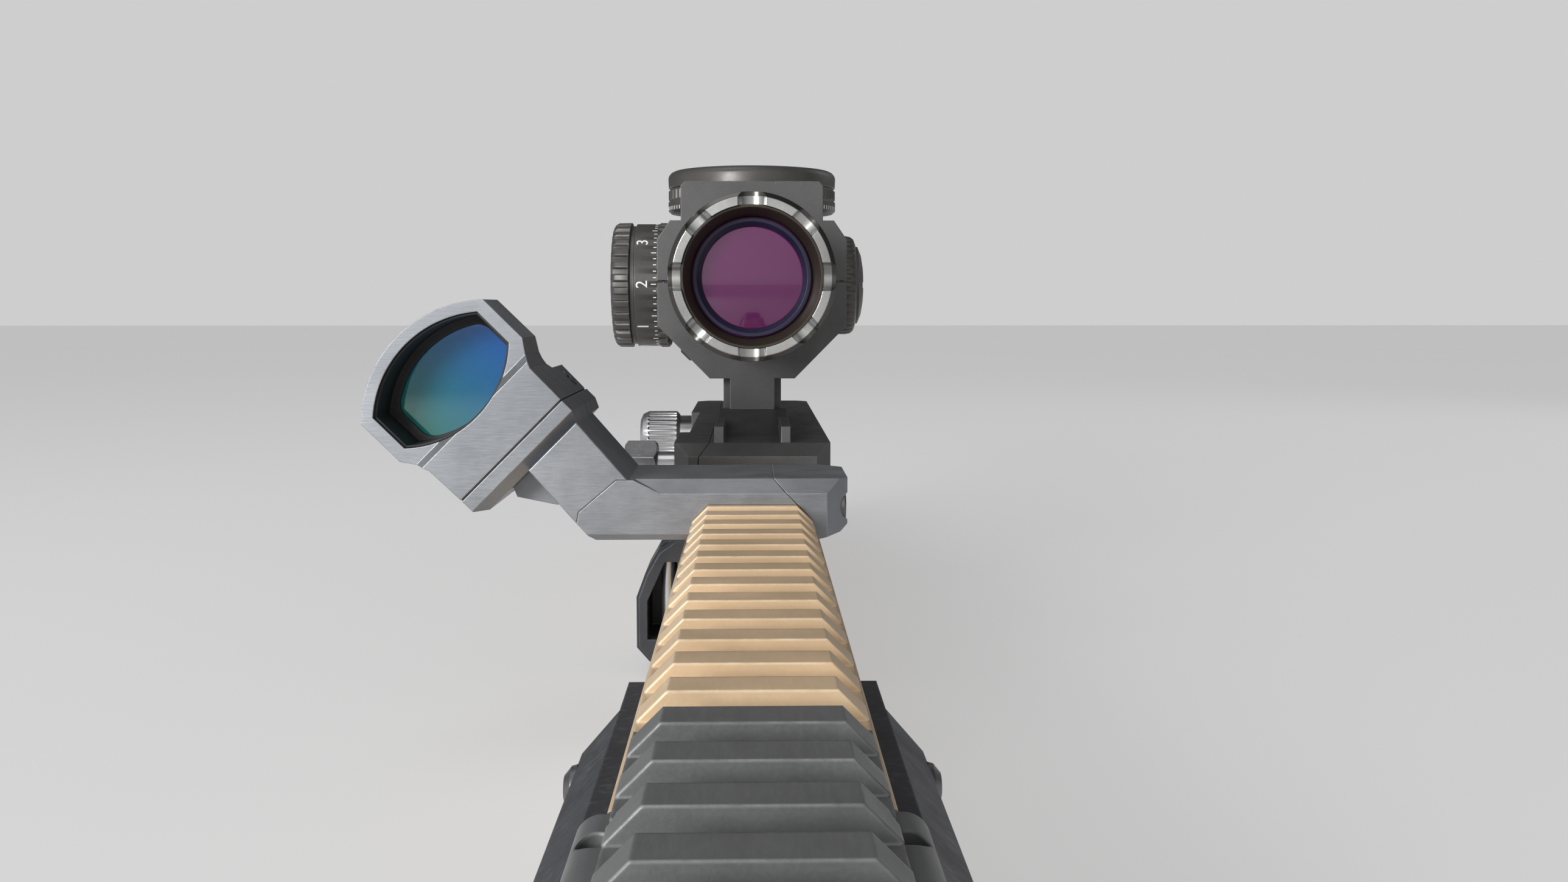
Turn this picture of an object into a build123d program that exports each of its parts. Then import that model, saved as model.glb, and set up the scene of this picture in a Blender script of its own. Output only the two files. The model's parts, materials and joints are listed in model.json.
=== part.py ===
from build123d import *
from math import cos, pi, radians, sin, sqrt
import os

# A slotted accessory rail that carries a low-power variable scope in a two-ring mount and a small
# reflex sight on a 45 degree offset mount. Millimetres. +Y runs along the rail from its front end to
# its rear end, +Z is up, and +X is to the right when looking along +Y. The origin is the middle of
# the rail's underside. Heights named ..._h count from the rail's top face.

# ---- rail -------------------------------------------------------------------------------------
RAIL_TOP = 44.0          # top face of the rail above the underside
RAIL_WIDTH = 21.2        # widest part of the rail head
RAIL_BEVEL = 2.8         # height of each 45 degree bevel of the head
RAIL_EDGE = 1.1          # upright flat between the two bevels
SLOT_PITCH = 10.01
SLOT_WIDTH = 5.23
SLOT_DEPTH = 3.0
CRESTS = 41
FRONT_CRESTS = 5         # crests that belong to the separate front section
SHOULDER_WIDTH = 26.0
SHOULDER_H = -10.4
BODY_WIDTH = 27.2
BODY_SIDE_H = -14.3      # where the upright side walls start
BODY_WALL = 4.1
TUNNEL_ROOF_H = -12.5
FLOOR_WALL = 4.0
FOOT_CHAMFER = 1.5
RAIL_GAP = 0.05          # clearance of a mount round the rail head

# ---- side panels ------------------------------------------------------------------------------
PANEL_LENGTH = 104.0
PANEL_FRONT_SETBACK = 3.0
PANEL_TONGUE = 13.2      # narrow rear end of a panel
PANEL_TOP_WIDTH = 2.6
PANEL_THICKNESS = 6.6
PANEL_SLOPE_H = -18.0
PANEL_BOTTOM_H = -40.0
PANEL_SCREW_H = -20.6
PANEL_SCREW_RADIUS = 1.5
PANEL_HEAD_RADIUS = 2.7
PANEL_HEAD_HEIGHT = 1.5
PANEL_SCREW_STATIONS = (24.0, 84.0)

# ---- front section lugs -----------------------------------------------------------------------
LUG_OUT = 13.7
LUG_TOP_H = -4.2
LUG_LENGTH = 18.0
LUG_SETBACK = 17.4       # from the joint with the rail body
LUG_ROUNDING = 2.2
LUG_SCREW_X = 11.5
LUG_SCREW_RADIUS = 0.9
LUG_SCREW_LENGTH = 8.5
LUG_HEAD_RADIUS = 1.45
LUG_HEAD_DEPTH = 2.0
LUG_SCREW_SINK = 1.5

# ---- sling loop -------------------------------------------------------------------------------
LOOP_SETBACK = 223.09    # its open front behind the rail's front end
LOOP_DEPTH = 17.0
LOOP_OUT = 11.1          # how far it stands out of the body's side
LOOP_TOP_H = -14.6
LOOP_BOTTOM_H = -40.8
LOOP_WALL = 2.3
PIN_RADIUS = 1.5

# ---- offset mount -----------------------------------------------------------------------------
OFFSET_SLOT = 17         # rail slot that its front clamp screw lies in
OFFSET_FRONT_GAP = 5.66  # front face ahead of that slot's centre
OFFSET_DEPTH = 24.7
OFFSET_TOP_H = 4.4
OFFSET_BOTTOM_H = -6.2
OFFSET_LEFT = -30.8
OFFSET_SIDE = 6.3        # side wall beyond the widest part of the rail head
OFFSET_SPLIT_X = 3.6
SEAM_TOP_X = -23.8
ARM_TOP_X = -21.8
MOUNT_CHAMFER = 2.4
JAW_GAP = 0.15
END_CHAMFER = 3.8
EDGE_BREAK = 0.25
OFFSET_SCREW_RADIUS = 2.0
OFFSET_SCREW_H = -0.7
OFFSET_HEAD_RADIUS = 3.0
OFFSET_HEAD_LENGTH = 3.6
OFFSET_SCREW_END = -19.0
OFFSET_JAW_TRAVEL = 1.4
ARM_SCREW_RADIUS = 1.5
ARM_HEAD_RADIUS = 2.7
ARM_HEAD_LENGTH = 2.2
ARM_SCREW_LENGTH = 8.5
PLATE_SCREW_U = 5.6
PLATE_HEAD_DEPTH = 2.4
ARM_SCREW_STATIONS = (6.0, 18.7)

# ---- reflex sight, in its own frame: u across, v up, y back from the front face ----------------
SIGHT_ANGLE = 45.0
SIGHT_X = -42.1
SIGHT_H = 9.8
PLATE_HALF = 12.45
PLATE_LENGTH = 39.5
PLATE_THICKNESS = 4.35
SEAL_THICKNESS = 0.35
HOUSING_LENGTH = 36.0
DECK_V = 6.4
WAIST_V = 7.5
SHOULDER_V = 9.8
HOOD_HALF = 15.3
HOOD_LOW_V = 12.2
HOOD_HIGH_V = 21.6
HOOD_PEAK_V = 27.7
HOOD_DEPTH = 14.6
RIM_SETBACK = 1.2
WINDOW_HALF = 13.05
WINDOW_PEAK_V = 25.7
WINDOW_TOP_RADIUS = 20.0
WINDOW_FLOOR_V = 8.1
WINDOW_FLOOR_RADIUS = 19.1
LENS_Y = 12.0
LENS_THICKNESS = 2.2
LENS_LEDGE = 2.0
LENS_FLOOR_LEDGE = 0.9    # narrower along the window's floor
LENS_CORNER = 3.2
GASKET_THICKNESS = 0.8
LINER_THICKNESS = 0.45
LINER_SETBACK = 2.0      # behind the front face
FIT = 0.05               # clearance of a piece that sits still in its seat
RUNNING = 0.05           # radial clearance of a piece that turns or slides
SIGHT_CELL_RADIUS = 8.0
SIGHT_CELL_HEIGHT = 3.2
TRAY_Y = 5.2
TRAY_WIDTH = 17.6
TRAY_FLOOR_V = 0.9
TRAY_HEIGHT = 3.75
TRAY_LENGTH = 18.6
TRAY_TRAVEL = 18.5
BUTTON_RADIUS = 1.7
BUTTON_LENGTH = 3.4
BUTTON_TRAVEL = 0.8
BUTTON_STATIONS = (29.1, 33.3)
BUTTON_V = 3.4
SIGHT_SCREW_U = 9.6
SIGHT_SCREW_Y = 24.8
SIGHT_SCREW_RADIUS = 1.4
SIGHT_HEAD_RADIUS = 2.3
SIGHT_HEAD_LENGTH = 1.5
ADJUSTER_RADIUS = 2.0
ADJUSTER_LENGTH = 3.4
ADJUSTER_PROUD = 0.3
WINDAGE_ADJUSTER_Y = 30.6
ELEVATION_ADJUSTER_Y = 25.4
HUMP_Y = 27.9
HUMP_LENGTH = 5.9
HUMP_HALF = 3.6
HUMP_V = 10.6
EMITTER_RADIUS = 1.6
BOARD_THICKNESS = 0.8

# ---- scope ------------------------------------------------------------------------------------
AXIS_H = 40.6            # scope axis above the rail
SCOPE_OVERHANG = 11.735  # the scope's front ahead of its mount's front
TUBE_RADIUS = 17.0
TUBE_BORE = 15.0
RING_LENGTH = 6.0        # castellated ring at the front
RING_BORE = 14.4
RING_BEVEL = 1.0
NOTCHES = 8
NOTCH_WIDTH = 5.7
NOTCH_DEPTH = 1.7
CELL_LENGTH = 12.0
CELL_SEAT = 12.45
CELL_STEPS = 5
LENS_EDGE = 2.4
LENS_CROWN = 1.4
SADDLE_Y = 112.0         # turret centre line behind the scope's front
SADDLE_LENGTH = 38.0
SADDLE_RISE = 2.0        # above the tube
TUBE_LENGTH = 182.0      # from the scope's front to the zoom ring
NECK_STEP = 1.5          # the neck's radius below the tube's
NECK_BORE = 13.5
NECK_LENGTH = 22.0
ZOOM_WALL = 4.5
ZOOM_LENGTH = 17.6
LEVER_REACH = 31.5
LEVER_THICKNESS = 5.0
LEVER_LENGTH = 9.0
LEVER_ANGLE = 225.0
OCULAR_LENGTH = 42.0
OCULAR_FRONT_WALL = 3.5
OCULAR_WALL = 5.5
SPIGOT_WALL = 2.0
SPIGOT_LENGTH = 13.0
FOCUS_WALL = 4.0
FOCUS_LENGTH = 17.0
EYE_LENS_RADIUS = 15.4
ELEVATION_RADIUS = 23.0
ELEVATION_STAND = 0.5    # underside of the dial above the saddle
ELEVATION_DIAL_HEIGHT = 6.6
ELEVATION_CAP_HEIGHT = 4.8
WINDAGE_RADIUS = 17.1
WINDAGE_STAND = 3.4
WINDAGE_LENGTH = 15.3
ILLUMINATION_RADIUS = 13.6
ILLUMINATION_STAND = 1.6
ILLUMINATION_LENGTH = 7.9
CAP_LENGTH = 2.0
CAP_RADIUS = 10.6
COIN_RADIUS = 10.0
COIN_HEIGHT = 3.2
BOSS_GAP = 0.2
ELEVATION_BOSS = 15.0
WINDAGE_BOSS = 13.0
ILLUMINATION_BOSS = 12.0
PLUNGER_RADIUS = 3.9
SEAL_SECTION = 0.8
ERECTOR_RADIUS = 9.5
ERECTOR_BORE = 8.2
ERECTOR_FRONT = 64.0     # behind the scope's front
GIMBAL_Y = 176.0
GIMBAL_LENGTH = 4.0
GIMBAL_RADIUS = 14.5
GIMBAL_BORE = 9.9
PLUNGER_GAP = 0.1
CELL_RING_LENGTH = 7.0
FRONT_CELL_Y = 104.0
REAR_CELL_Y = 140.0
RETICLE_THICKNESS = 1.5

# ---- scope mount ------------------------------------------------------------------------------
MOUNT_SLOT = 23          # rail slot of the front clamp bolt
MOUNT_REAR_SLOT = 32
MOUNT_FRONT_GAP = 14.7
MOUNT_LENGTH = 141.0
MOUNT_TOP_H = 5.9
MOUNT_BOTTOM_H = -6.2
MOUNT_SIDE = 6.0         # side wall beyond the widest part of the rail head
MOUNT_FRONT_CHAMFER = 2.7
MOUNT_SPLIT_OUT = 1.2    # split outside the rail's top face
MOUNT_SPLIT_STEP = 0.7   # its lower part outside the rail head
MOUNT_SPLIT_STEP_H = 3.0
MOUNT_END_CHAMFER = 3.0
RIB_X = 7.1
RIB_WIDTH = 2.0
RIB_HEIGHT = 3.4
RAMP_LENGTH = 45.0
RAMP_RISE = 4.4
RAMP_HALF = 8.2
POST_HALF = 5.3
FLANK_HALF = 7.0
RING_WIDTH = 14.0
RING_FRONT = 44.0        # front face of the front ring behind the mount's front
RING_SPACING = 80.0
RING_WALL = 5.6          # beyond the tube, sideways
RING_LOW_WALL = 6.1      # below the tube
RING_LOW_HALF = 10.2
RING_SIDE_LOW = 10.5
RING_SIDE_HIGH = 10.0
CAP_SHOULDER_WALL = 2.5
CAP_SHOULDER_DROP = 2.5  # shoulder below the tube's top
CAP_TOP_INSET = 0.1
CAP_TOP_WALL = 6.7
CAP_SPLIT = 0.3
CAP_SCREW_OUT = 2.8      # screw axis beyond the tube
CAP_SCREW_RADIUS = 1.25
CAP_HEAD_RADIUS = 2.2
CAP_HEAD_LENGTH = 2.5
CAP_SEAT = 6.5
CAP_SCREW_DEPTH = 9.0
CAP_SCREW_STATIONS = (3.5, 10.5)
BOLT_RADIUS = 1.9
BOLT_H = -1.05
BOLT_HEAD_RADIUS = 4.0
BOLT_HEAD_LENGTH = 3.5
BOLT_END = -26.4
NUT_ACROSS_FLATS = 11.0
NUT_INNER = -20.8
NUT_OUTER = -27.9
COLLAR_RADIUS = 3.9
KNOB_RADIUS = 6.4
KNOB_INNER = -20.4
KNOB_OUTER = -31.4
SCOPE_JAW_TRAVEL = 2.0

# ---- places worked out from the sizes above ----------------------------------------------------
CREST_WIDTH = SLOT_PITCH - SLOT_WIDTH
RAIL_LENGTH = (CRESTS - 1) * SLOT_PITCH + CREST_WIDTH
RAIL_FRONT = -RAIL_LENGTH / 2
RAIL_FLAT = RAIL_WIDTH - 2 * RAIL_BEVEL
LOOP_Y = RAIL_FRONT + LOOP_SETBACK
OFFSET_RIGHT = RAIL_WIDTH / 2 + OFFSET_SIDE
MOUNT_HALF = RAIL_WIDTH / 2 + MOUNT_SIDE
MOUNT_SPLIT_X = -RAIL_FLAT / 2 - MOUNT_SPLIT_OUT
MOUNT_SPLIT_STEP_X = -RAIL_WIDTH / 2 - MOUNT_SPLIT_STEP
RING_HALF = TUBE_RADIUS + RING_WALL
RING_LOW = TUBE_RADIUS + RING_LOW_WALL
CAP_SHOULDER_HALF = TUBE_RADIUS + CAP_SHOULDER_WALL
CAP_SHOULDER = TUBE_RADIUS - CAP_SHOULDER_DROP
CAP_TOP_HALF = TUBE_RADIUS - CAP_TOP_INSET
CAP_TOP = TUBE_RADIUS + CAP_TOP_WALL
CAP_SCREW_X = TUBE_RADIUS + CAP_SCREW_OUT
SADDLE_RADIUS = TUBE_RADIUS + SADDLE_RISE
ELEVATION_BASE = SADDLE_RADIUS + ELEVATION_STAND
WINDAGE_BASE = SADDLE_RADIUS + WINDAGE_STAND
ILLUMINATION_BASE = SADDLE_RADIUS + ILLUMINATION_STAND
NECK_RADIUS = TUBE_RADIUS - NECK_STEP
ZOOM_RADIUS = NECK_RADIUS + ZOOM_WALL
OCULAR_FRONT_RADIUS = NECK_RADIUS + OCULAR_FRONT_WALL
OCULAR_RADIUS = NECK_RADIUS + OCULAR_WALL
SPIGOT_RADIUS = NECK_RADIUS + SPIGOT_WALL
FOCUS_RADIUS = SPIGOT_RADIUS + FOCUS_WALL


def slot_y(index):
    """Centre line of a rail slot, counted from the front."""
    return RAIL_FRONT + CREST_WIDTH + SLOT_WIDTH / 2 + index * SLOT_PITCH


SECTION_Y = slot_y(FRONT_CRESTS - 1)
OFFSET_Y = slot_y(OFFSET_SLOT) - OFFSET_FRONT_GAP
MOUNT_Y = slot_y(MOUNT_SLOT) - MOUNT_FRONT_GAP
SCOPE_FRONT = MOUNT_Y - SCOPE_OVERHANG
AXIS_Z = RAIL_TOP + AXIS_H
TURRET_Y = SCOPE_FRONT + SADDLE_Y
TURRET = (0, TURRET_Y, AXIS_Z)
RING_STATIONS = (MOUNT_Y + RING_FRONT, MOUNT_Y + RING_FRONT + RING_SPACING)
OFFSET_SCREW_STATIONS = (slot_y(OFFSET_SLOT), slot_y(OFFSET_SLOT + 1))
BOLT_STATIONS = (slot_y(MOUNT_SLOT), slot_y(MOUNT_REAR_SLOT))
SIGHT = Plane(
    origin=(SIGHT_X, OFFSET_Y, RAIL_TOP + SIGHT_H),
    x_dir=(cos(radians(SIGHT_ANGLE)), 0, sin(radians(SIGHT_ANGLE))),
    z_dir=(-sin(radians(SIGHT_ANGLE)), 0, cos(radians(SIGHT_ANGLE))),
)


# ---- shape helpers -----------------------------------------------------------------------------
def block(x0, x1, y0, y1, z0, z1):
    """Box between two corners."""
    return Pos((x0 + x1) / 2, (y0 + y1) / 2, (z0 + z1) / 2) * Box(x1 - x0, y1 - y0, z1 - z0)


def bar(points, y0, y1):
    """Outline in X and Z, drawn out along Y."""
    outline = Wire.make_polygon([Vector(x, y0, z) for x, z in points])
    return extrude(Face(outline), amount=y1 - y0, dir=(0, 1, 0))


def raised(points):
    """Heights above the rail's top face turned into Z."""
    return [(x, RAIL_TOP + h) for x, h in points]


def slab(points, x0, x1):
    """Outline in Y and Z, drawn out along X."""
    outline = Wire.make_polygon([Vector(x0, y, z) for y, z in points])
    return extrude(Face(outline), amount=x1 - x0, dir=(1, 0, 0))


def rod(radius, start, direction, length):
    """Cylinder from a start point along a direction."""
    upright = Cylinder(radius, length, align=(Align.CENTER, Align.CENTER, Align.MIN))
    return Plane(origin=start, z_dir=direction) * upright


def turned(profile, start, direction):
    """Outline of (distance along the axis, radius) turned about the axis."""
    outline = Wire.make_polygon([Vector(r, 0, s) for s, r in profile])
    return Plane(origin=start, z_dir=direction) * revolve(Face(outline), Axis.Z, 360)


def ring(outer, inner, start, direction, length):
    """Plain tube."""
    profile = [(0, inner), (0, outer), (length, outer), (length, inner)]
    return turned(profile, start, direction)


def socket_screw(radius, length, head_radius, head_length, seat, direction):
    """Cap screw whose head starts at the seat and whose shank runs along the direction."""
    along = Vector(*direction).normalized()
    back = along * -head_length
    socket = head_radius * 0.58
    profile = [
        (0, 0),
        (0, head_radius - EDGE_BREAK),
        (EDGE_BREAK, head_radius),
        (head_length, head_radius),
        (head_length, radius),
        (head_length + length, radius),
        (head_length + length, 0),
    ]
    start = Vector(*seat) + back
    hexagon = extrude(RegularPolygon(socket, 6), amount=head_length * 0.6)
    return turned(profile, start, direction) - Plane(origin=start, z_dir=along) * hexagon


def across_corners(across_flats):
    return across_flats / sqrt(3)


def break_front(solid, y, size=EDGE_BREAK):
    """Chamfers the edges of a solid's flat front face."""
    edges = solid.edges().filter_by(lambda e: abs(e.bounding_box().max.Y - y) < 1e-4)
    return chamfer(edges.filter_by(lambda e: abs(e.bounding_box().min.Y - y) < 1e-4), size)


def save(name, solid):
    export_step(Compound(children=list(solid.solids())), f"parts/{name}.step")


# ---- rail ---------------------------------------------------------------------------------------
def head_half(gap=0.0):
    """Right half of the rail head, from its top corner down to the neck, grown by a clearance."""
    grown = gap * (sqrt(2) - 1)
    flat = RAIL_FLAT / 2
    wide = RAIL_WIDTH / 2
    low = -RAIL_BEVEL - RAIL_EDGE
    return [
        (flat + grown, gap),
        (wide + gap, -RAIL_BEVEL + grown),
        (wide + gap, low - grown),
        (flat + grown, low - RAIL_BEVEL - gap),
    ]


def mirrored(points):
    return [(-x, z) for x, z in reversed(points)]


def fore_end_profile():
    neck = RAIL_FLAT / 2
    right = head_half() + [
        (neck, SHOULDER_H + 2.4),
        (SHOULDER_WIDTH / 2, SHOULDER_H),
        (BODY_WIDTH / 2, BODY_SIDE_H),
        (BODY_WIDTH / 2, FOOT_CHAMFER - RAIL_TOP),
        (BODY_WIDTH / 2 - FOOT_CHAMFER, -RAIL_TOP),
    ]
    return raised(right + mirrored(right))


def tunnel_profile():
    half = BODY_WIDTH / 2 - BODY_WALL
    corner = half / 3
    right = [
        (half - corner, TUNNEL_ROOF_H),
        (half, TUNNEL_ROOF_H - corner),
        (half, FLOOR_WALL + corner - RAIL_TOP),
        (half - corner, FLOOR_WALL - RAIL_TOP),
    ]
    return raised(right + mirrored(right))


def fore_end(y0, y1):
    """Stretch of the hollow extrusion with its rail slots cut."""
    solid = bar(fore_end_profile(), y0, y1) - bar(tunnel_profile(), y0 - 1, y1 + 1)
    for index in range(CRESTS - 1):
        middle = slot_y(index)
        low = max(y0 - 1, middle - SLOT_WIDTH / 2)
        high = min(y1 + 1, middle + SLOT_WIDTH / 2)
        if high - low > EDGE_BREAK:
            solid -= block(-RAIL_WIDTH, RAIL_WIDTH, low, high, RAIL_TOP - SLOT_DEPTH, RAIL_TOP + 1)
    return solid


def panel_screw_holes(radius):
    """Cross holes for the panel screws on both sides."""
    z = RAIL_TOP + PANEL_SCREW_H
    reach = BODY_WIDTH / 2 + PANEL_THICKNESS + 1
    depth = PANEL_THICKNESS + BODY_WALL + 2
    holes = []
    for station in PANEL_SCREW_STATIONS:
        y = RAIL_FRONT + station
        holes.append(rod(radius, (-reach, y, z), (1, 0, 0), depth))
        holes.append(rod(radius, (reach, y, z), (-1, 0, 0), depth))
    return holes


def rail_body():
    solid = fore_end(SECTION_Y, RAIL_FRONT + RAIL_LENGTH)
    for hole in panel_screw_holes(PANEL_SCREW_RADIUS + FIT):
        solid -= hole
    return solid


def lug(side):
    """Rounded ear at the side of the front section."""
    y1 = SECTION_Y - LUG_SETBACK
    y0 = y1 - LUG_LENGTH
    inner = RAIL_FLAT / 2 - 1
    solid = block(inner, LUG_OUT, y0, y1, RAIL_TOP + BODY_SIDE_H, RAIL_TOP + LUG_TOP_H)
    upper = solid.edges().filter_by(Axis.Y).group_by(Axis.Z)[-1]
    solid = fillet(upper.sort_by(Axis.X)[-1:], LUG_ROUNDING)
    return solid if side > 0 else mirror(solid, Plane.YZ)


def lug_y():
    return SECTION_Y - LUG_SETBACK - LUG_LENGTH * 0.3


def front_rail_section():
    solid = fore_end(RAIL_FRONT, SECTION_Y) + lug(1) + lug(-1)
    bore = LUG_HEAD_RADIUS + FIT
    for side in (-1, 1):
        x = side * LUG_SCREW_X
        top = RAIL_TOP + LUG_TOP_H
        seat = top - LUG_SCREW_SINK - LUG_HEAD_DEPTH
        solid -= rod(bore, (x, lug_y(), seat), (0, 0, 1), RAIL_TOP - seat + 1)
        low = seat - LUG_SCREW_LENGTH - 0.5
        solid -= rod(LUG_SCREW_RADIUS + FIT, (x, lug_y(), low), (0, 0, 1), seat - low + 1)
    for hole in panel_screw_holes(PANEL_SCREW_RADIUS + FIT):
        solid -= hole
    return solid


def front_lug_screws():
    seat = RAIL_TOP + LUG_TOP_H - LUG_SCREW_SINK - LUG_HEAD_DEPTH
    screws = Part()
    for side in (-1, 1):
        at = (side * LUG_SCREW_X, lug_y(), seat)
        screws += socket_screw(
            LUG_SCREW_RADIUS, LUG_SCREW_LENGTH, LUG_HEAD_RADIUS, LUG_HEAD_DEPTH, at, (0, 0, -1)
        )
    return screws


def side_panel(side):
    """Panel bolted to one side of the fore-end, with a narrow tongue at its rear."""
    inner = BODY_WIDTH / 2
    y0 = RAIL_FRONT + PANEL_FRONT_SETBACK
    y1 = y0 + PANEL_LENGTH
    tongue_y = y1 - PANEL_TONGUE
    outer = inner + PANEL_THICKNESS
    ledge = inner + PANEL_TOP_WIDTH
    profile = raised([
        (inner, BODY_SIDE_H),
        (ledge, BODY_SIDE_H),
        (outer, PANEL_SLOPE_H),
        (outer, PANEL_BOTTOM_H + 2),
        (outer - 2, PANEL_BOTTOM_H),
        (inner, PANEL_BOTTOM_H),
    ])
    solid = bar(profile, y0, y1)
    waste = block(ledge, outer + 1, tongue_y, y1 + 1, 0, RAIL_TOP)
    wedge = Wire.make_polygon([
        Vector(ledge, tongue_y + 0.01, 0),
        Vector(outer + 1, tongue_y + 0.01, 0),
        Vector(outer + 1, tongue_y - PANEL_THICKNESS, 0),
    ])
    solid -= waste
    solid -= extrude(Face(wedge), amount=RAIL_TOP, dir=(0, 0, 1))
    for station in PANEL_SCREW_STATIONS:
        at = (inner - 1, RAIL_FRONT + station, RAIL_TOP + PANEL_SCREW_H)
        solid -= rod(PANEL_SCREW_RADIUS + FIT, at, (1, 0, 0), PANEL_THICKNESS + 2)
    for recess in range(3):
        low = y0 + 34 + 14 * recess
        solid -= block(outer - 1.2, outer + 1, low, low + 9, RAIL_TOP - 36, RAIL_TOP - 25)
    return solid if side > 0 else mirror(solid, Plane.YZ)


def side_panel_screws():
    """Domed screws that hold the two panels."""
    inner = BODY_WIDTH / 2
    length = PANEL_THICKNESS + BODY_WALL - 0.5
    profile = [
        (0, 0),
        (0, PANEL_HEAD_RADIUS * 0.55),
        (PANEL_HEAD_HEIGHT * 0.55, PANEL_HEAD_RADIUS * 0.93),
        (PANEL_HEAD_HEIGHT, PANEL_HEAD_RADIUS),
        (PANEL_HEAD_HEIGHT, PANEL_SCREW_RADIUS),
        (PANEL_HEAD_HEIGHT + length, PANEL_SCREW_RADIUS),
        (PANEL_HEAD_HEIGHT + length, 0),
    ]
    screws = Part()
    for side in (-1, 1):
        for station in PANEL_SCREW_STATIONS:
            x = side * (inner + PANEL_THICKNESS + PANEL_HEAD_HEIGHT)
            at = (x, RAIL_FRONT + station, RAIL_TOP + PANEL_SCREW_H)
            drive = extrude(RegularPolygon(1.2, 6), amount=0.9)
            screws += turned(profile, at, (-side, 0, 0)) - Plane(origin=at, z_dir=(-side, 0, 0)) * drive
    return screws


def sling_loop():
    """D-shaped loop on the left side, closed at its rear."""
    side = -BODY_WIDTH / 2
    out = side - LOOP_OUT
    middle = (LOOP_TOP_H + LOOP_BOTTOM_H) / 2
    outline = raised([
        (side, LOOP_TOP_H + 0.4),
        (side - 3.2, LOOP_TOP_H),
        (side - 6.5, LOOP_TOP_H - 2.3),
        (side - 9.2, LOOP_TOP_H - 7.1),
        (out, middle + 0.9),
        (out, LOOP_BOTTOM_H + 3.1),
        (out + 2.7, LOOP_BOTTOM_H),
        (side, LOOP_BOTTOM_H),
    ])
    hollow = raised([
        (side - LOOP_WALL, LOOP_TOP_H - 4.6),
        (side - 5.0, LOOP_TOP_H - 4.6),
        (out + LOOP_WALL, middle),
        (out + LOOP_WALL, LOOP_BOTTOM_H + 4.9),
        (side - LOOP_WALL, LOOP_BOTTOM_H + 4.9),
    ])
    solid = bar(outline, LOOP_Y, LOOP_Y + LOOP_DEPTH)
    solid = break_front(solid, LOOP_Y, 0.6)
    solid -= bar(hollow, LOOP_Y - 1, LOOP_Y + LOOP_DEPTH - LOOP_WALL)
    low = RAIL_TOP + LOOP_BOTTOM_H + 4.9 - LOOP_WALL / 2
    return solid - rod(PIN_RADIUS + FIT, (loop_pin_x(), loop_pin_y(), low), (0, 0, 1), 30)


def loop_pin_x():
    return -BODY_WIDTH / 2 - LOOP_WALL - PIN_RADIUS - 0.6


def loop_pin_y():
    return LOOP_Y + 3.4


def sling_pin():
    low = RAIL_TOP + LOOP_BOTTOM_H + 4.9 - LOOP_WALL / 2
    high = RAIL_TOP + LOOP_TOP_H - 2.2
    length = high - low
    profile = [
        (0, 0),
        (0, PIN_RADIUS),
        (length - 0.4, PIN_RADIUS),
        (length, PIN_RADIUS - 0.4),
        (length, 0),
    ]
    return turned(profile, (loop_pin_x(), loop_pin_y(), low), (0, 0, 1))


# ---- offset mount -------------------------------------------------------------------------------
def sight_point(u, v):
    """A point of the sight's frame as X and height above the rail."""
    turn = radians(SIGHT_ANGLE)
    return (
        SIGHT_X + u * cos(turn) - v * sin(turn),
        SIGHT_H + u * sin(turn) + v * cos(turn),
    )


def offset_screw_cuts(radius):
    z = RAIL_TOP + OFFSET_SCREW_H
    start = OFFSET_SCREW_END - 0.5
    return [
        rod(radius, (start, y, z), (1, 0, 0), OFFSET_RIGHT - start) for y in OFFSET_SCREW_STATIONS
    ]


def front_wedge(x0, x1, y, top, size):
    """Waste of a 45 degree chamfer along an upper front edge."""
    points = [(y - 1, top - size - 1), (y - 1, top + 1), (y + size + 1, top + 1)]
    return slab(points, x0, x1)


def arm_screw_frame():
    """Middle of the seam between base and arm, and the direction square to it, into the arm."""
    x0, h0 = OFFSET_LEFT + 0.4, -1.2
    x1, h1 = SEAM_TOP_X, OFFSET_TOP_H
    length = sqrt((x1 - x0) ** 2 + (h1 - h0) ** 2)
    normal = Vector(-(h1 - h0) / length, 0, (x1 - x0) / length)
    return Vector((x0 + x1) / 2, 0, RAIL_TOP + (h0 + h1) / 2), normal


def arm_screw_seats():
    """Where each arm screw's head bears, inside the base."""
    middle, into_arm = arm_screw_frame()
    seat = middle - into_arm * 4.2
    return [Vector(seat.X, OFFSET_Y + station, seat.Z) for station in ARM_SCREW_STATIONS], into_arm


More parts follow.
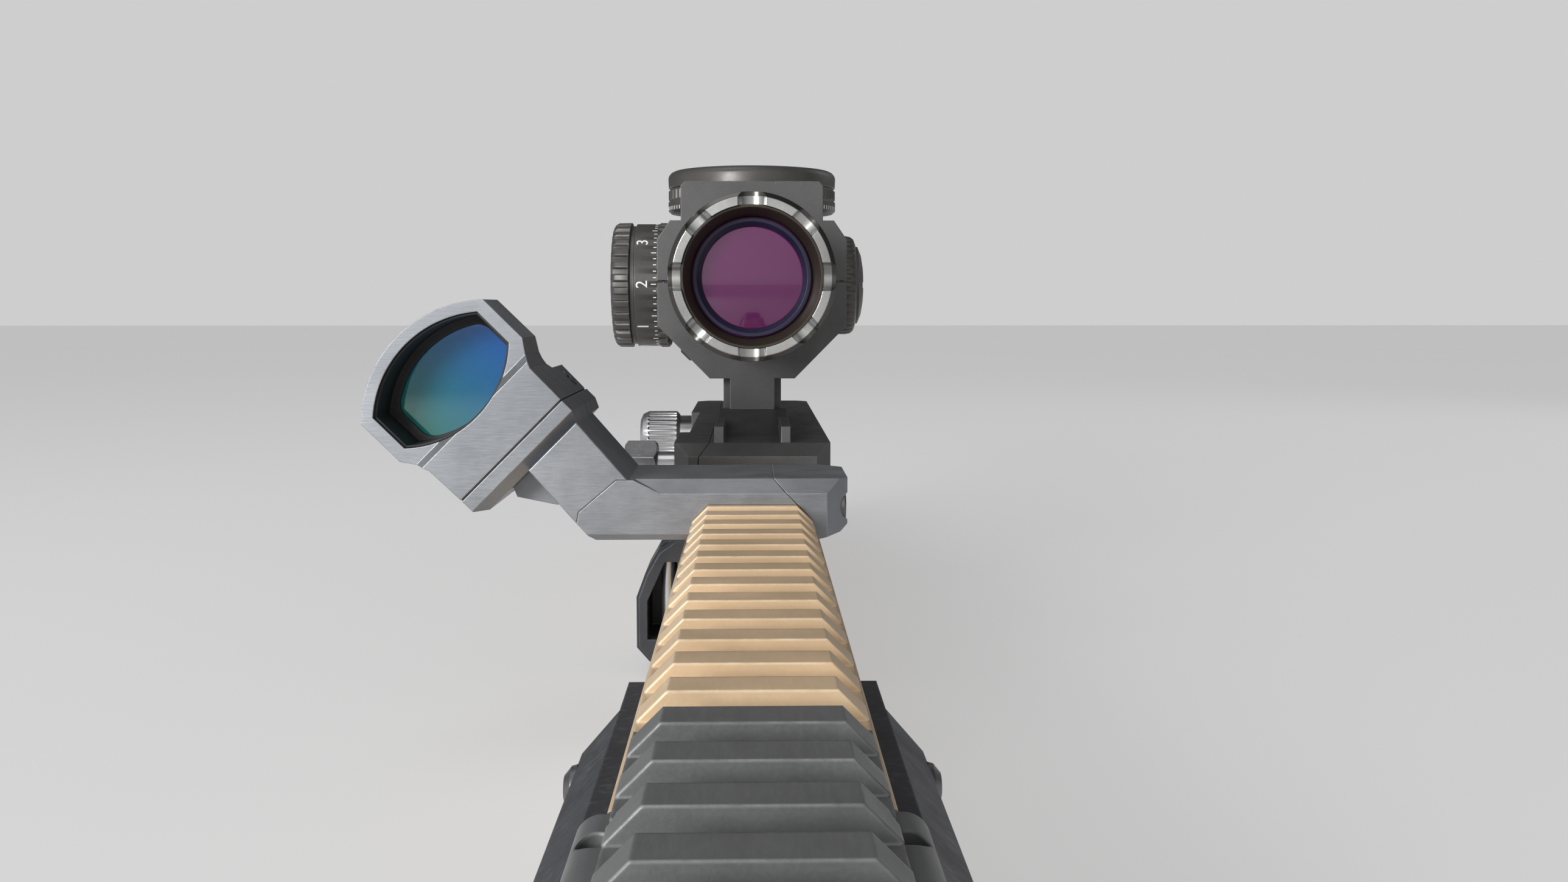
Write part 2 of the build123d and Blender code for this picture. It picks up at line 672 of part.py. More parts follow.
def offset_base():
    head = head_half(RAIL_GAP)
    points = raised([
        (SEAM_TOP_X, OFFSET_TOP_H),
        (OFFSET_SPLIT_X, OFFSET_TOP_H),
        (RAIL_FLAT / 2, RAIL_GAP),
        (-head[0][0], head[0][1]),
        (-head[1][0], head[1][1]),
        (-head[2][0], head[2][1]),
        (-head[3][0] + (head[3][1] - OFFSET_BOTTOM_H), OFFSET_BOTTOM_H),
        (-27.5, OFFSET_BOTTOM_H),
        (-28.8, OFFSET_BOTTOM_H + 0.8),
        (OFFSET_LEFT, -3.2),
        (OFFSET_LEFT + 0.4, -1.2),
    ])
    y1 = OFFSET_Y + OFFSET_DEPTH
    solid = bar(points, OFFSET_Y, y1)
    run_out = raised([(-20.8, OFFSET_TOP_H + 1), (-20.8, OFFSET_TOP_H), (-15.8, 1.9), (20, 1.9), (20, 6)])
    wedge = front_wedge(-25, 20, OFFSET_Y, RAIL_TOP + OFFSET_TOP_H, MOUNT_CHAMFER)
    solid -= wedge & bar(run_out, OFFSET_Y - 2, OFFSET_Y + 8)
    solid -= lower_bevel(-40, 0)
    for cut in offset_screw_cuts(OFFSET_SCREW_RADIUS + RUNNING):
        solid -= cut
    seats, into_arm = arm_screw_seats()
    for seat in seats:
        solid -= rod(ARM_HEAD_RADIUS + FIT, seat, into_arm * -1, 12)
        solid -= rod(ARM_SCREW_RADIUS + FIT, seat, into_arm, 8)
    return solid


def lower_bevel(x0, x1):
    """Waste of the narrow bevel along the lower front edge."""
    z = RAIL_TOP + OFFSET_BOTTOM_H
    y = OFFSET_Y
    return slab([(y - 1, z - 1), (y + 0.8, z - 1), (y + 0.8, z), (y, z + 1.1), (y - 1, z + 1.1)], x0, x1)


def offset_arm():
    top_right = sight_point(11.5, -SEAL_THICKNESS - PLATE_THICKNESS)
    top_left = sight_point(-0.4, -SEAL_THICKNESS - PLATE_THICKNESS)
    points = raised([
        top_right,
        top_left,
        (OFFSET_LEFT, -3.2),
        (OFFSET_LEFT + 0.4, -1.2),
        (SEAM_TOP_X, OFFSET_TOP_H),
        (ARM_TOP_X, OFFSET_TOP_H),
    ])
    solid = break_front(bar(points, OFFSET_Y, OFFSET_Y + OFFSET_DEPTH), OFFSET_Y, 0.15)
    rib_top = sight_point(-6.2, -SEAL_THICKNESS - PLATE_THICKNESS)
    rib = raised([rib_top, (-42.5, 0.4), (-35.2, -1.1), (-33.0, 2.0), top_left])
    solid += bar(rib, OFFSET_Y + 9, OFFSET_Y + OFFSET_DEPTH - 1)
    seats, into_arm = arm_screw_seats()
    for seat in seats:
        solid -= rod(ARM_SCREW_RADIUS + FIT, seat, into_arm, 13.5)
    for hole in plate_screw_holes(ARM_SCREW_RADIUS + FIT):
        solid -= hole
    return solid


def offset_arm_screws():
    """Two screws that join base and arm, and two that hold the sight plate on the arm."""
    seats, into_arm = arm_screw_seats()
    screws = Part()
    for seat in seats:
        screws += socket_screw(
            ARM_SCREW_RADIUS, ARM_SCREW_LENGTH, ARM_HEAD_RADIUS, ARM_HEAD_LENGTH,
            (seat.X, seat.Y, seat.Z), (into_arm.X, 0, into_arm.Z),
        )
    for station in ARM_SCREW_STATIONS:
        at = (PLATE_SCREW_U, station, -SEAL_THICKNESS - PLATE_HEAD_DEPTH)
        screws += SIGHT * socket_screw(
            ARM_SCREW_RADIUS, ARM_SCREW_LENGTH, ARM_HEAD_RADIUS, ARM_HEAD_LENGTH, at, (0, 0, -1)
        )
    return screws


def offset_clamp_jaw():
    head = head_half(RAIL_GAP)
    points = raised([
        (OFFSET_SPLIT_X + JAW_GAP, OFFSET_TOP_H),
        (OFFSET_RIGHT, OFFSET_TOP_H),
        (OFFSET_RIGHT, -3.85),
        (15.6, -5.1),
        (11.5, -6.1),
        (head[3][0] + (OFFSET_BOTTOM_H - head[3][1]), OFFSET_BOTTOM_H),
        head[2],
        head[1],
        (RAIL_FLAT / 2 + JAW_GAP, RAIL_GAP),
    ])
    y0, y1 = OFFSET_Y, OFFSET_Y + OFFSET_DEPTH
    solid = bar(points, y0, y1)
    solid -= front_wedge(-25, 20, y0, RAIL_TOP + OFFSET_TOP_H, MOUNT_CHAMFER)
    solid -= corner_wedge(OFFSET_RIGHT, y0, END_CHAMFER, 1)
    solid -= corner_wedge(OFFSET_RIGHT, y1, END_CHAMFER, -1)
    z = RAIL_TOP + OFFSET_SCREW_H
    for y in OFFSET_SCREW_STATIONS:
        solid -= rod(OFFSET_SCREW_RADIUS + RUNNING, (0, y, z), (1, 0, 0), OFFSET_RIGHT + 1)
        seat = (OFFSET_RIGHT - OFFSET_HEAD_LENGTH, y, z)
        solid -= rod(OFFSET_HEAD_RADIUS + RUNNING, seat, (1, 0, 0), OFFSET_HEAD_LENGTH + 1)
    return solid


def corner_wedge(x, y, size, inward):
    """Waste of an upright corner chamfer at (x, y), for a body on its left."""
    outline = Wire.make_polygon([
        Vector(x - size, y, 0),
        Vector(x - size, y - inward, 0),
        Vector(x + 1, y - inward, 0),
        Vector(x + 1, y + inward * size, 0),
        Vector(x, y + inward * size, 0),
    ])
    return extrude(Face(outline), amount=RAIL_TOP * 2, dir=(0, 0, 1))


def offset_screw(y):
    seat = (OFFSET_RIGHT - OFFSET_HEAD_LENGTH + RUNNING, y, RAIL_TOP + OFFSET_SCREW_H)
    length = OFFSET_RIGHT - OFFSET_HEAD_LENGTH - OFFSET_SCREW_END
    return socket_screw(
        OFFSET_SCREW_RADIUS, length, OFFSET_HEAD_RADIUS, OFFSET_HEAD_LENGTH - 0.3, seat, (-1, 0, 0)
    )


# ---- reflex sight -------------------------------------------------------------------------------
def plate_screw_holes(radius):
    """Holes of the two screws that pull the plate onto the arm, already in the row's frame."""
    return [
        SIGHT * rod(radius, (PLATE_SCREW_U, station, -12), (0, 0, 1), 12 - SEAL_THICKNESS)
        for station in ARM_SCREW_STATIONS
    ]


def sight_plate():
    low = -SEAL_THICKNESS - PLATE_THICKNESS
    points = [
        (PLATE_HALF, -SEAL_THICKNESS),
        (PLATE_HALF, -2.8),
        (PLATE_HALF - 1.05, low),
        (2 - PLATE_HALF, low),
        (-PLATE_HALF, -3.0),
        (-PLATE_HALF, -SEAL_THICKNESS),
    ]
    solid = bar(points, 0, PLATE_LENGTH)
    solid -= slab([(-1, low - 1), (1.9, low - 1), (1.9, low), (0, low + 1.9), (-1, low + 1.9)], -20, 20)
    solid -= corner_cut(PLATE_HALF, PLATE_LENGTH, 2.2)
    solid -= corner_cut(-PLATE_HALF, PLATE_LENGTH, 2.2)
    for side in (-1, 1):
        at = (side * SIGHT_SCREW_U, SIGHT_SCREW_Y, low - 1)
        solid -= rod(SIGHT_SCREW_RADIUS + FIT, at, (0, 0, 1), PLATE_THICKNESS + 2)
    seat = -SEAL_THICKNESS - PLATE_HEAD_DEPTH
    for station in ARM_SCREW_STATIONS:
        shank = (PLATE_SCREW_U, station, low - 1)
        solid -= rod(ARM_SCREW_RADIUS + FIT, shank, (0, 0, 1), PLATE_THICKNESS + 2)
        solid -= rod(ARM_HEAD_RADIUS + FIT, (PLATE_SCREW_U, station, seat), (0, 0, 1), 4)
    return SIGHT * solid


def corner_cut(u, y, size):
    """Waste of an upright rear corner chamfer in the sight's frame."""
    toward = -1 if u > 0 else 1
    outline = Wire.make_polygon([
        Vector(u + toward * size, y, -30),
        Vector(u + toward * size, y + 1, -30),
        Vector(u - toward, y + 1, -30),
        Vector(u - toward, y - size, -30),
        Vector(u, y - size, -30),
    ])
    return extrude(Face(outline), amount=60, dir=(0, 0, 1))


def sight_seal():
    half = PLATE_HALF - 0.15
    outer = block(-half, half, 0.15, HOUSING_LENGTH - 0.15, -SEAL_THICKNESS, 0)
    inner = block(2.2 - half, half - 2.2, 2.4, HOUSING_LENGTH - 2.4, -2, 2)
    pads = outer & (
        rod(3.2, (-SIGHT_SCREW_U, SIGHT_SCREW_Y, -2), (0, 0, 1), 4)
        + rod(3.2, (SIGHT_SCREW_U, SIGHT_SCREW_Y, -2), (0, 0, 1), 4)
    )
    solid = (outer - inner) + pads
    for side in (-1, 1):
        at = (side * SIGHT_SCREW_U, SIGHT_SCREW_Y, -2)
        solid -= rod(SIGHT_SCREW_RADIUS + FIT, at, (0, 0, 1), 4)
    return SIGHT * solid


def window(inset, y0, y1, floor_inset=None):
    """Window shape: upright sides, arched top and dished floor, shrunk by an inset."""
    floor_inset = inset if floor_inset is None else floor_inset
    half = WINDOW_HALF - inset
    top_centre = WINDOW_PEAK_V - WINDOW_TOP_RADIUS
    top_radius = WINDOW_TOP_RADIUS - inset
    floor_centre = WINDOW_FLOOR_V + WINDOW_FLOOR_RADIUS
    floor_radius = WINDOW_FLOOR_RADIUS - floor_inset
    high = top_centre + sqrt(top_radius ** 2 - half ** 2)
    low = floor_centre - sqrt(floor_radius ** 2 - half ** 2)
    edges = [
        Edge.make_line((half, y0, low), (half, y0, high)),
        Edge.make_three_point_arc(
            (half, y0, high), (0, y0, top_centre + top_radius), (-half, y0, high)
        ),
        Edge.make_line((-half, y0, high), (-half, y0, low)),
        Edge.make_three_point_arc(
            (-half, y0, low), (0, y0, floor_centre - floor_radius), (half, y0, low)
        ),
    ]
    return extrude(Face(Wire(edges)), amount=y1 - y0, dir=(0, 1, 0))


def lens_opening(y0, y1):
    """What can be seen of the lens: an inset window with rounded corners."""
    solid = window(LENS_LEDGE, y0, y1, LENS_FLOOR_LEDGE)
    return fillet(solid.edges().filter_by(Axis.Y), LENS_CORNER)


def hood_outline():
    """Front outline of the housing."""
    right = [
        (PLATE_HALF, 0),
        (PLATE_HALF + 0.15, WAIST_V),
        (PLATE_HALF + 1.15, SHOULDER_V),
        (HOOD_HALF, HOOD_LOW_V),
        (HOOD_HALF, HOOD_HIGH_V),
    ]
    left = [(-u, v) for u, v in reversed(right)]
    edges = [Edge.make_line((a[0], 0, a[1]), (b[0], 0, b[1])) for a, b in zip(right, right[1:])]
    edges.append(Edge.make_three_point_arc(
        (HOOD_HALF, 0, HOOD_HIGH_V), (0, 0, HOOD_PEAK_V), (-HOOD_HALF, 0, HOOD_HIGH_V)
    ))
    edges += [Edge.make_line((a[0], 0, a[1]), (b[0], 0, b[1])) for a, b in zip(left, left[1:])]
    edges.append(Edge.make_line((-PLATE_HALF, 0, 0), (PLATE_HALF, 0, 0)))
    return extrude(Face(Wire(edges)), amount=HOUSING_LENGTH, dir=(0, 1, 0))


def sight_housing():
    side = [
        (0, 0),
        (HOUSING_LENGTH, 0),
        (HOUSING_LENGTH, DECK_V),
        (HOOD_DEPTH + 7.6, DECK_V),
        (HOOD_DEPTH + 3.4, SHOULDER_V - 1.2),
        (HOOD_DEPTH + 1.6, HOOD_LOW_V),
        (HOOD_DEPTH, HOOD_PEAK_V + 1),
        (RIM_SETBACK, HOOD_PEAK_V + 1),
        (RIM_SETBACK, SHOULDER_V),
        (0, SHOULDER_V - RIM_SETBACK),
    ]
    solid = hood_outline() & slab(side, -HOOD_HALF - 1, HOOD_HALF + 1)
    hump = block(-HUMP_HALF, HUMP_HALF, HUMP_Y, HUMP_Y + HUMP_LENGTH, DECK_V - 1, HUMP_V)
    solid += chamfer(hump.faces().sort_by(Axis.Z)[-1].edges(), 1.2)
    solid -= window(0, -1, LENS_Y + LENS_THICKNESS + FIT)
    solid -= lens_opening(0, HOUSING_LENGTH + 1)
    solid -= tray_pocket()
    solid -= board_pocket()
    emitter_v = (DECK_V + HUMP_V) / 2 - 0.3
    solid -= rod(EMITTER_RADIUS + FIT, (0, HUMP_Y - 1, emitter_v), (0, 1, 0), HUMP_LENGTH - 0.6)
    for u in (-SIGHT_SCREW_U, SIGHT_SCREW_U):
        solid -= rod(SIGHT_SCREW_RADIUS + FIT, (u, SIGHT_SCREW_Y, -1), (0, 0, 1), 10)
        seat = DECK_V - SIGHT_HEAD_LENGTH
        solid -= rod(SIGHT_HEAD_RADIUS + FIT, (u, SIGHT_SCREW_Y, seat), (0, 0, 1), 12)
    start, direction = elevation_adjuster_axis()
    solid -= rod(ADJUSTER_RADIUS + RUNNING, start, direction, ADJUSTER_LENGTH + 1)
    start, direction = windage_adjuster_axis()
    solid -= rod(ADJUSTER_RADIUS + RUNNING, start, direction, ADJUSTER_LENGTH + 1)
    for station in BUTTON_STATIONS:
        at = (button_end(), station, BUTTON_V)
        depth = BUTTON_LENGTH + BUTTON_TRAVEL + 0.4
        solid -= rod(BUTTON_RADIUS + RUNNING, at, (1, 0, 0), depth)
    return SIGHT * solid


def tray_pocket():
    u0 = -HOOD_HALF - 1
    u1 = TRAY_LENGTH - PLATE_HALF + RUNNING
    y0 = TRAY_Y - RUNNING
    y1 = TRAY_Y + TRAY_WIDTH + RUNNING
    return block(u0, u1, y0, y1, TRAY_FLOOR_V - RUNNING, TRAY_FLOOR_V + TRAY_HEIGHT + RUNNING)


def board_pocket():
    return block(-7.5, 7.5, HUMP_Y + 0.6, HOUSING_LENGTH - 1.6, -1, DECK_V - 1.4)


def button_end():
    """Outer end of a brightness button, which stands just proud of the left side."""
    return -PLATE_HALF - 0.6


def elevation_adjuster_axis():
    return (0, ELEVATION_ADJUSTER_Y, DECK_V + ADJUSTER_PROUD - ADJUSTER_LENGTH), (0, 0, 1)


def windage_adjuster_axis():
    start = (PLATE_HALF + ADJUSTER_PROUD - ADJUSTER_LENGTH, WINDAGE_ADJUSTER_Y, BUTTON_V)
    return start, (1, 0, 0)


def adjuster(axis):
    """Slotted adjusting screw."""
    start, direction = axis
    solid = rod(ADJUSTER_RADIUS, start, direction, ADJUSTER_LENGTH)
    frame = Plane(origin=start, z_dir=direction)
    slot = Pos(0, 0, ADJUSTER_LENGTH) * Box(0.7, ADJUSTER_RADIUS * 3, 1.4)
    return SIGHT * (solid - frame * slot)


def sight_lens():
    return SIGHT * window(FIT, LENS_Y, LENS_Y + LENS_THICKNESS)


def sight_lens_gasket():
    """Black liner of the recess, with a lip that frames the lens."""
    lip_y = LENS_Y - GASKET_THICKNESS
    solid = window(FIT, LINER_SETBACK, LENS_Y) - window(LINER_THICKNESS, 0, lip_y)
    return SIGHT * (solid - lens_opening(0, LENS_Y + 1))


def sight_emitter():
    v = (DECK_V + HUMP_V) / 2 - 0.3
    profile = [
        (0, 0),
        (0.8, 0.7),
        (0, 0.9),
        (0, EMITTER_RADIUS),
        (HUMP_LENGTH - 1.8, EMITTER_RADIUS),
        (HUMP_LENGTH - 1.8, 0),
    ]
    return SIGHT * turned(profile, (0, HUMP_Y, v), (0, 1, 0))


def sight_circuit_board():
    low = DECK_V - 1.4 - BOARD_THICKNESS
    y0, y1 = HUMP_Y + 0.8, HOUSING_LENGTH - 1.8
    board = block(-7.3, 7.3, y0, y1, low, low + BOARD_THICKNESS)
    chip = block(-2, 2, y0 + 1.2, y1 - 1.2, low - 1.0, low)
    return SIGHT * (board + chip)


def sight_screws():
    screws = Part()
    for u in (-SIGHT_SCREW_U, SIGHT_SCREW_U):
        at = (u, SIGHT_SCREW_Y, DECK_V - SIGHT_HEAD_LENGTH)
        length = DECK_V - SIGHT_HEAD_LENGTH + SEAL_THICKNESS + PLATE_THICKNESS - 0.4
        screws += SIGHT * socket_screw(
            SIGHT_SCREW_RADIUS, length, SIGHT_HEAD_RADIUS, SIGHT_HEAD_LENGTH - 0.2, at, (0, 0, -1)
        )
    return screws


def cell_centre():
    return TRAY_LENGTH - PLATE_HALF - SIGHT_CELL_RADIUS - 0.7, TRAY_Y + TRAY_WIDTH / 2


def sight_battery_tray():
    u, y = cell_centre()
    tray = block(
        -PLATE_HALF, TRAY_LENGTH - PLATE_HALF - 0.2, TRAY_Y, TRAY_Y + TRAY_WIDTH,
        TRAY_FLOOR_V, TRAY_FLOOR_V + TRAY_HEIGHT,
    )
    well = rod(SIGHT_CELL_RADIUS + FIT, (u, y, TRAY_FLOOR_V + 0.5), (0, 0, 1), TRAY_HEIGHT)
    return SIGHT * (tray - well)


def sight_battery():
    u, y = cell_centre()
    profile = [
        (0, 0),
        (0, SIGHT_CELL_RADIUS - 0.8),
        (0.3, SIGHT_CELL_RADIUS),
        (SIGHT_CELL_HEIGHT, SIGHT_CELL_RADIUS),
        (SIGHT_CELL_HEIGHT, 0),
    ]
    return SIGHT * turned(profile, (u, y, TRAY_FLOOR_V + 0.5), (0, 0, 1))


def brightness_button(station):
    profile = [
        (0, 0),
        (0, BUTTON_RADIUS - 0.3),
        (0.3, BUTTON_RADIUS),
        (BUTTON_LENGTH, BUTTON_RADIUS),
        (BUTTON_LENGTH, 0),
    ]
    return SIGHT * turned(profile, (button_end(), station, BUTTON_V), (1, 0, 0))


# ---- scope mount --------------------------------------------------------------------------------
def ring_lower_profile():
    return [
        (-RING_HALF, -CAP_SPLIT),
        (-RING_HALF, -RING_SIDE_LOW),
        (-RING_LOW_HALF, -RING_LOW),
        (RING_LOW_HALF, -RING_LOW),
        (RING_HALF, -RING_SIDE_LOW),
        (RING_HALF, -CAP_SPLIT),
    ]


def about_axis(points):
    return [(x, AXIS_Z + z) for x, z in points]


def cap_screw_places(y0):
    return [(x, y0 + s) for x in (-CAP_SCREW_X, CAP_SCREW_X) for s in CAP_SCREW_STATIONS]


def scope_mount_base():
    head = head_half(RAIL_GAP)
    y0, y1 = MOUNT_Y, MOUNT_Y + MOUNT_LENGTH
    points = raised([
        (MOUNT_SPLIT_X, MOUNT_TOP_H),
        (MOUNT_HALF, MOUNT_TOP_H),
        (MOUNT_HALF, MOUNT_BOTTOM_H + 2),
        (MOUNT_HALF - 2, MOUNT_BOTTOM_H),
        (head[3][0] + (MOUNT_BOTTOM_H - head[3][1]), MOUNT_BOTTOM_H),
        head[2],
        head[1],
        head[0],
        (-head[0][0], head[0][1]),
        (-head[0][0] - 0.6, head[0][1] - 0.6),
        (MOUNT_SPLIT_STEP_X, head[0][1] - 0.6),
        (MOUNT_SPLIT_STEP_X, MOUNT_SPLIT_STEP_H),
    ])
    solid = bar(points, y0, y1)
    solid -= front_wedge(-25, 25, y0, RAIL_TOP + MOUNT_TOP_H, MOUNT_FRONT_CHAMFER)
    solid -= corner_wedge(MOUNT_HALF, y0, MOUNT_END_CHAMFER, 1)
    solid -= corner_wedge(MOUNT_HALF, y1, MOUNT_END_CHAMFER, -1)
    top = RAIL_TOP + MOUNT_TOP_H
    ramp = [
        (y0 + 18, top - 1),
        (y0 + RAMP_LENGTH, top - 1),
        (y0 + RAMP_LENGTH, top + RAMP_RISE),
        (y0 + 18, top),
    ]
    solid += slab(ramp, -RAMP_HALF + 0.2, RAMP_HALF)
    for x in (-RIB_X, RIB_X):
        rib = [
            (y0 + MOUNT_FRONT_CHAMFER, top - 1),
            (y0 + 30, top - 1),
            (y0 + 30, top + RIB_HEIGHT),
            (y0 + MOUNT_FRONT_CHAMFER + 0.6, top + RIB_HEIGHT),
        ]
        solid += slab(rib, x - RIB_WIDTH / 2, x + RIB_WIDTH / 2)
    for station in RING_STATIONS:
        solid += ring_post(station)
    for station in RING_STATIONS:
        solid -= rod(TUBE_RADIUS + FIT, (0, station - 1, AXIS_Z), (0, 1, 0), RING_WIDTH + 2)
        for x, y in cap_screw_places(station):
            low = AXIS_Z - CAP_SCREW_DEPTH - 0.5
            solid -= rod(CAP_SCREW_RADIUS + FIT, (x, y, low), (0, 0, 1), CAP_SCREW_DEPTH + 1)
    z = RAIL_TOP + BOLT_H
    for y in BOLT_STATIONS:
        solid -= rod(BOLT_RADIUS + FIT, (BOLT_END, y, z), (1, 0, 0), MOUNT_HALF - BOLT_END + 1)
        seat = (MOUNT_HALF - BOLT_HEAD_LENGTH, y, z)
        solid -= rod(BOLT_HEAD_RADIUS + FIT, seat, (1, 0, 0), BOLT_HEAD_LENGTH + 1)
    return solid


def ring_post(station):
    """Lower half of one ring with its post and the flanks behind the post's front web."""
    low = MOUNT_TOP_H - 1
    web_top = AXIS_H - RING_LOW + 2
    solid = bar(about_axis(ring_lower_profile()), station, station + RING_WIDTH)
    web = raised([(-POST_HALF, low), (POST_HALF, low), (POST_HALF, web_top), (-POST_HALF, web_top)])
    solid += bar(web, station, station + RING_WIDTH)
    flank = raised([(-FLANK_HALF, low), (FLANK_HALF, low), (FLANK_HALF, web_top), (-FLANK_HALF, web_top)])
    solid += bar(flank, station + 5, station + RING_WIDTH)
    return solid


def ring_cap(station):
    half = [
        (RING_HALF, CAP_SPLIT),
        (RING_HALF, RING_SIDE_HIGH),
        (CAP_SHOULDER_HALF, CAP_SHOULDER),
        (CAP_TOP_HALF, CAP_SHOULDER),
        (CAP_TOP_HALF, CAP_TOP - 1),
        (CAP_TOP_HALF - 1, CAP_TOP),
    ]
    solid = bar(about_axis(half + mirrored(half)), station, station + RING_WIDTH)
    solid -= rod(TUBE_RADIUS + FIT, (0, station - 1, AXIS_Z), (0, 1, 0), RING_WIDTH + 2)
    for x, y in cap_screw_places(station):
        solid -= rod(CAP_SCREW_RADIUS + FIT, (x, y, AXIS_Z - 1), (0, 0, 1), CAP_SEAT + 2)
        solid -= rod(CAP_HEAD_RADIUS + FIT, (x, y, AXIS_Z + CAP_SEAT), (0, 0, 1), 20)
    return solid


def ring_cap_screws():
    screws = Part()
    for station in RING_STATIONS:
        for x, y in cap_screw_places(station):
            at = (x, y, AXIS_Z + CAP_SEAT)
            length = CAP_SEAT + CAP_SCREW_DEPTH
            screws += socket_screw(
                CAP_SCREW_RADIUS, length, CAP_HEAD_RADIUS, CAP_HEAD_LENGTH, at, (0, 0, -1)
            )
    return screws


def scope_clamp_jaw():
    head = head_half(RAIL_GAP)
    low = MOUNT_BOTTOM_H - 1
    y0, y1 = MOUNT_Y, MOUNT_Y + MOUNT_LENGTH
    points = raised([
        (MOUNT_SPLIT_X - JAW_GAP, MOUNT_TOP_H),
        (MOUNT_SPLIT_STEP_X - JAW_GAP, MOUNT_SPLIT_STEP_H),
        (MOUNT_SPLIT_STEP_X - JAW_GAP, head[2][1]),
        (-head[2][0], head[2][1]),
        (-head[2][0] + (head[2][1] - MOUNT_BOTTOM_H), MOUNT_BOTTOM_H),
        (-head[2][0] + (head[2][1] - MOUNT_BOTTOM_H), low),
        (-MOUNT_HALF + 2, low),
        (-MOUNT_HALF, low + 2),
        (-MOUNT_HALF, MOUNT_TOP_H),
    ])
    solid = bar(points, y0, y1)
    solid -= front_wedge(-25, 25, y0, RAIL_TOP + MOUNT_TOP_H, MOUNT_FRONT_CHAMFER)
    solid -= mirror(corner_wedge(MOUNT_HALF, y0, MOUNT_END_CHAMFER, 1), Plane.YZ)
    solid -= mirror(corner_wedge(MOUNT_HALF, y1, MOUNT_END_CHAMFER, -1), Plane.YZ)
    middle = (BOLT_STATIONS[0] + BOLT_STATIONS[1]) / 2
    waste = (BOLT_STATIONS[1] - BOLT_STATIONS[0]) / 2 - 14
    solid -= block(
        -MOUNT_HALF - 1, -MOUNT_HALF + 2.2, middle - waste, middle + waste, 0, RAIL_TOP + MOUNT_TOP_H + 1
    )
    for y in BOLT_STATIONS:
        start = (-MOUNT_HALF - 1, y, RAIL_TOP + BOLT_H)
        solid -= rod(BOLT_RADIUS + RUNNING, start, (1, 0, 0), MOUNT_HALF)
    return solid


def clamp_bolts():
    bolts = Part()
    for y in BOLT_STATIONS:
        seat = (MOUNT_HALF - BOLT_HEAD_LENGTH, y, RAIL_TOP + BOLT_H)
        length = seat[0] - BOLT_END
        bolts += socket_screw(
            BOLT_RADIUS, length, BOLT_HEAD_RADIUS, BOLT_HEAD_LENGTH - 0.3, seat, (-1, 0, 0)
        )
    return bolts


def front_clamp_nut():
    """Hexagon nut with a collar that bears on the jaw."""
    y, z = BOLT_STATIONS[0], RAIL_TOP + BOLT_H
    corner = across_corners(NUT_ACROSS_FLATS)
    length = NUT_INNER - NUT_OUTER
    hexagon = extrude(RegularPolygon(corner, 6, rotation=30), amount=length)
    envelope = turned([
        (0, 0), (0, corner - 0.8), (0.8, corner + 0.2),
        (length - 0.8, corner + 0.2), (length, corner - 0.8), (length, 0),
    ], (0, 0, 0), (0, 0, 1))
    body = Plane(origin=(NUT_OUTER, y, z), x_dir=(0, 1, 0), z_dir=(1, 0, 0)) * (hexagon & envelope)
    body += rod(COLLAR_RADIUS, (NUT_INNER, y, z), (1, 0, 0), -MOUNT_HALF - RUNNING - NUT_INNER)
    return body - nut_bore(y)


def nut_bore(y):
    z = RAIL_TOP + BOLT_H
    return rod(BOLT_RADIUS + RUNNING, (BOLT_END - 0.2, y, z), (1, 0, 0), 12)


def rear_clamp_knob():
    """Round knob with a neck that bears on the jaw."""
    y, z = BOLT_STATIONS[1], RAIL_TOP + BOLT_H
    length = KNOB_INNER - KNOB_OUTER
    neck = -MOUNT_HALF - RUNNING - KNOB_OUTER
    profile = [
        (0, 0),
        (0, KNOB_RADIUS - 2.2),
        (0.7, KNOB_RADIUS - 0.7),
        (2.2, KNOB_RADIUS),
        (length - 1, KNOB_RADIUS),
        (length, KNOB_RADIUS - 1),
        (length, COLLAR_RADIUS + 1.2),
        (neck, COLLAR_RADIUS + 1.2),
        (neck, 0),
    ]
    return turned(profile, (KNOB_OUTER, y, z), (1, 0, 0)) - nut_bore(y)


# ---- scope --------------------------------------------------------------------------------------
def scope_point(distance):
    return (0, SCOPE_FRONT + distance, AXIS_Z)


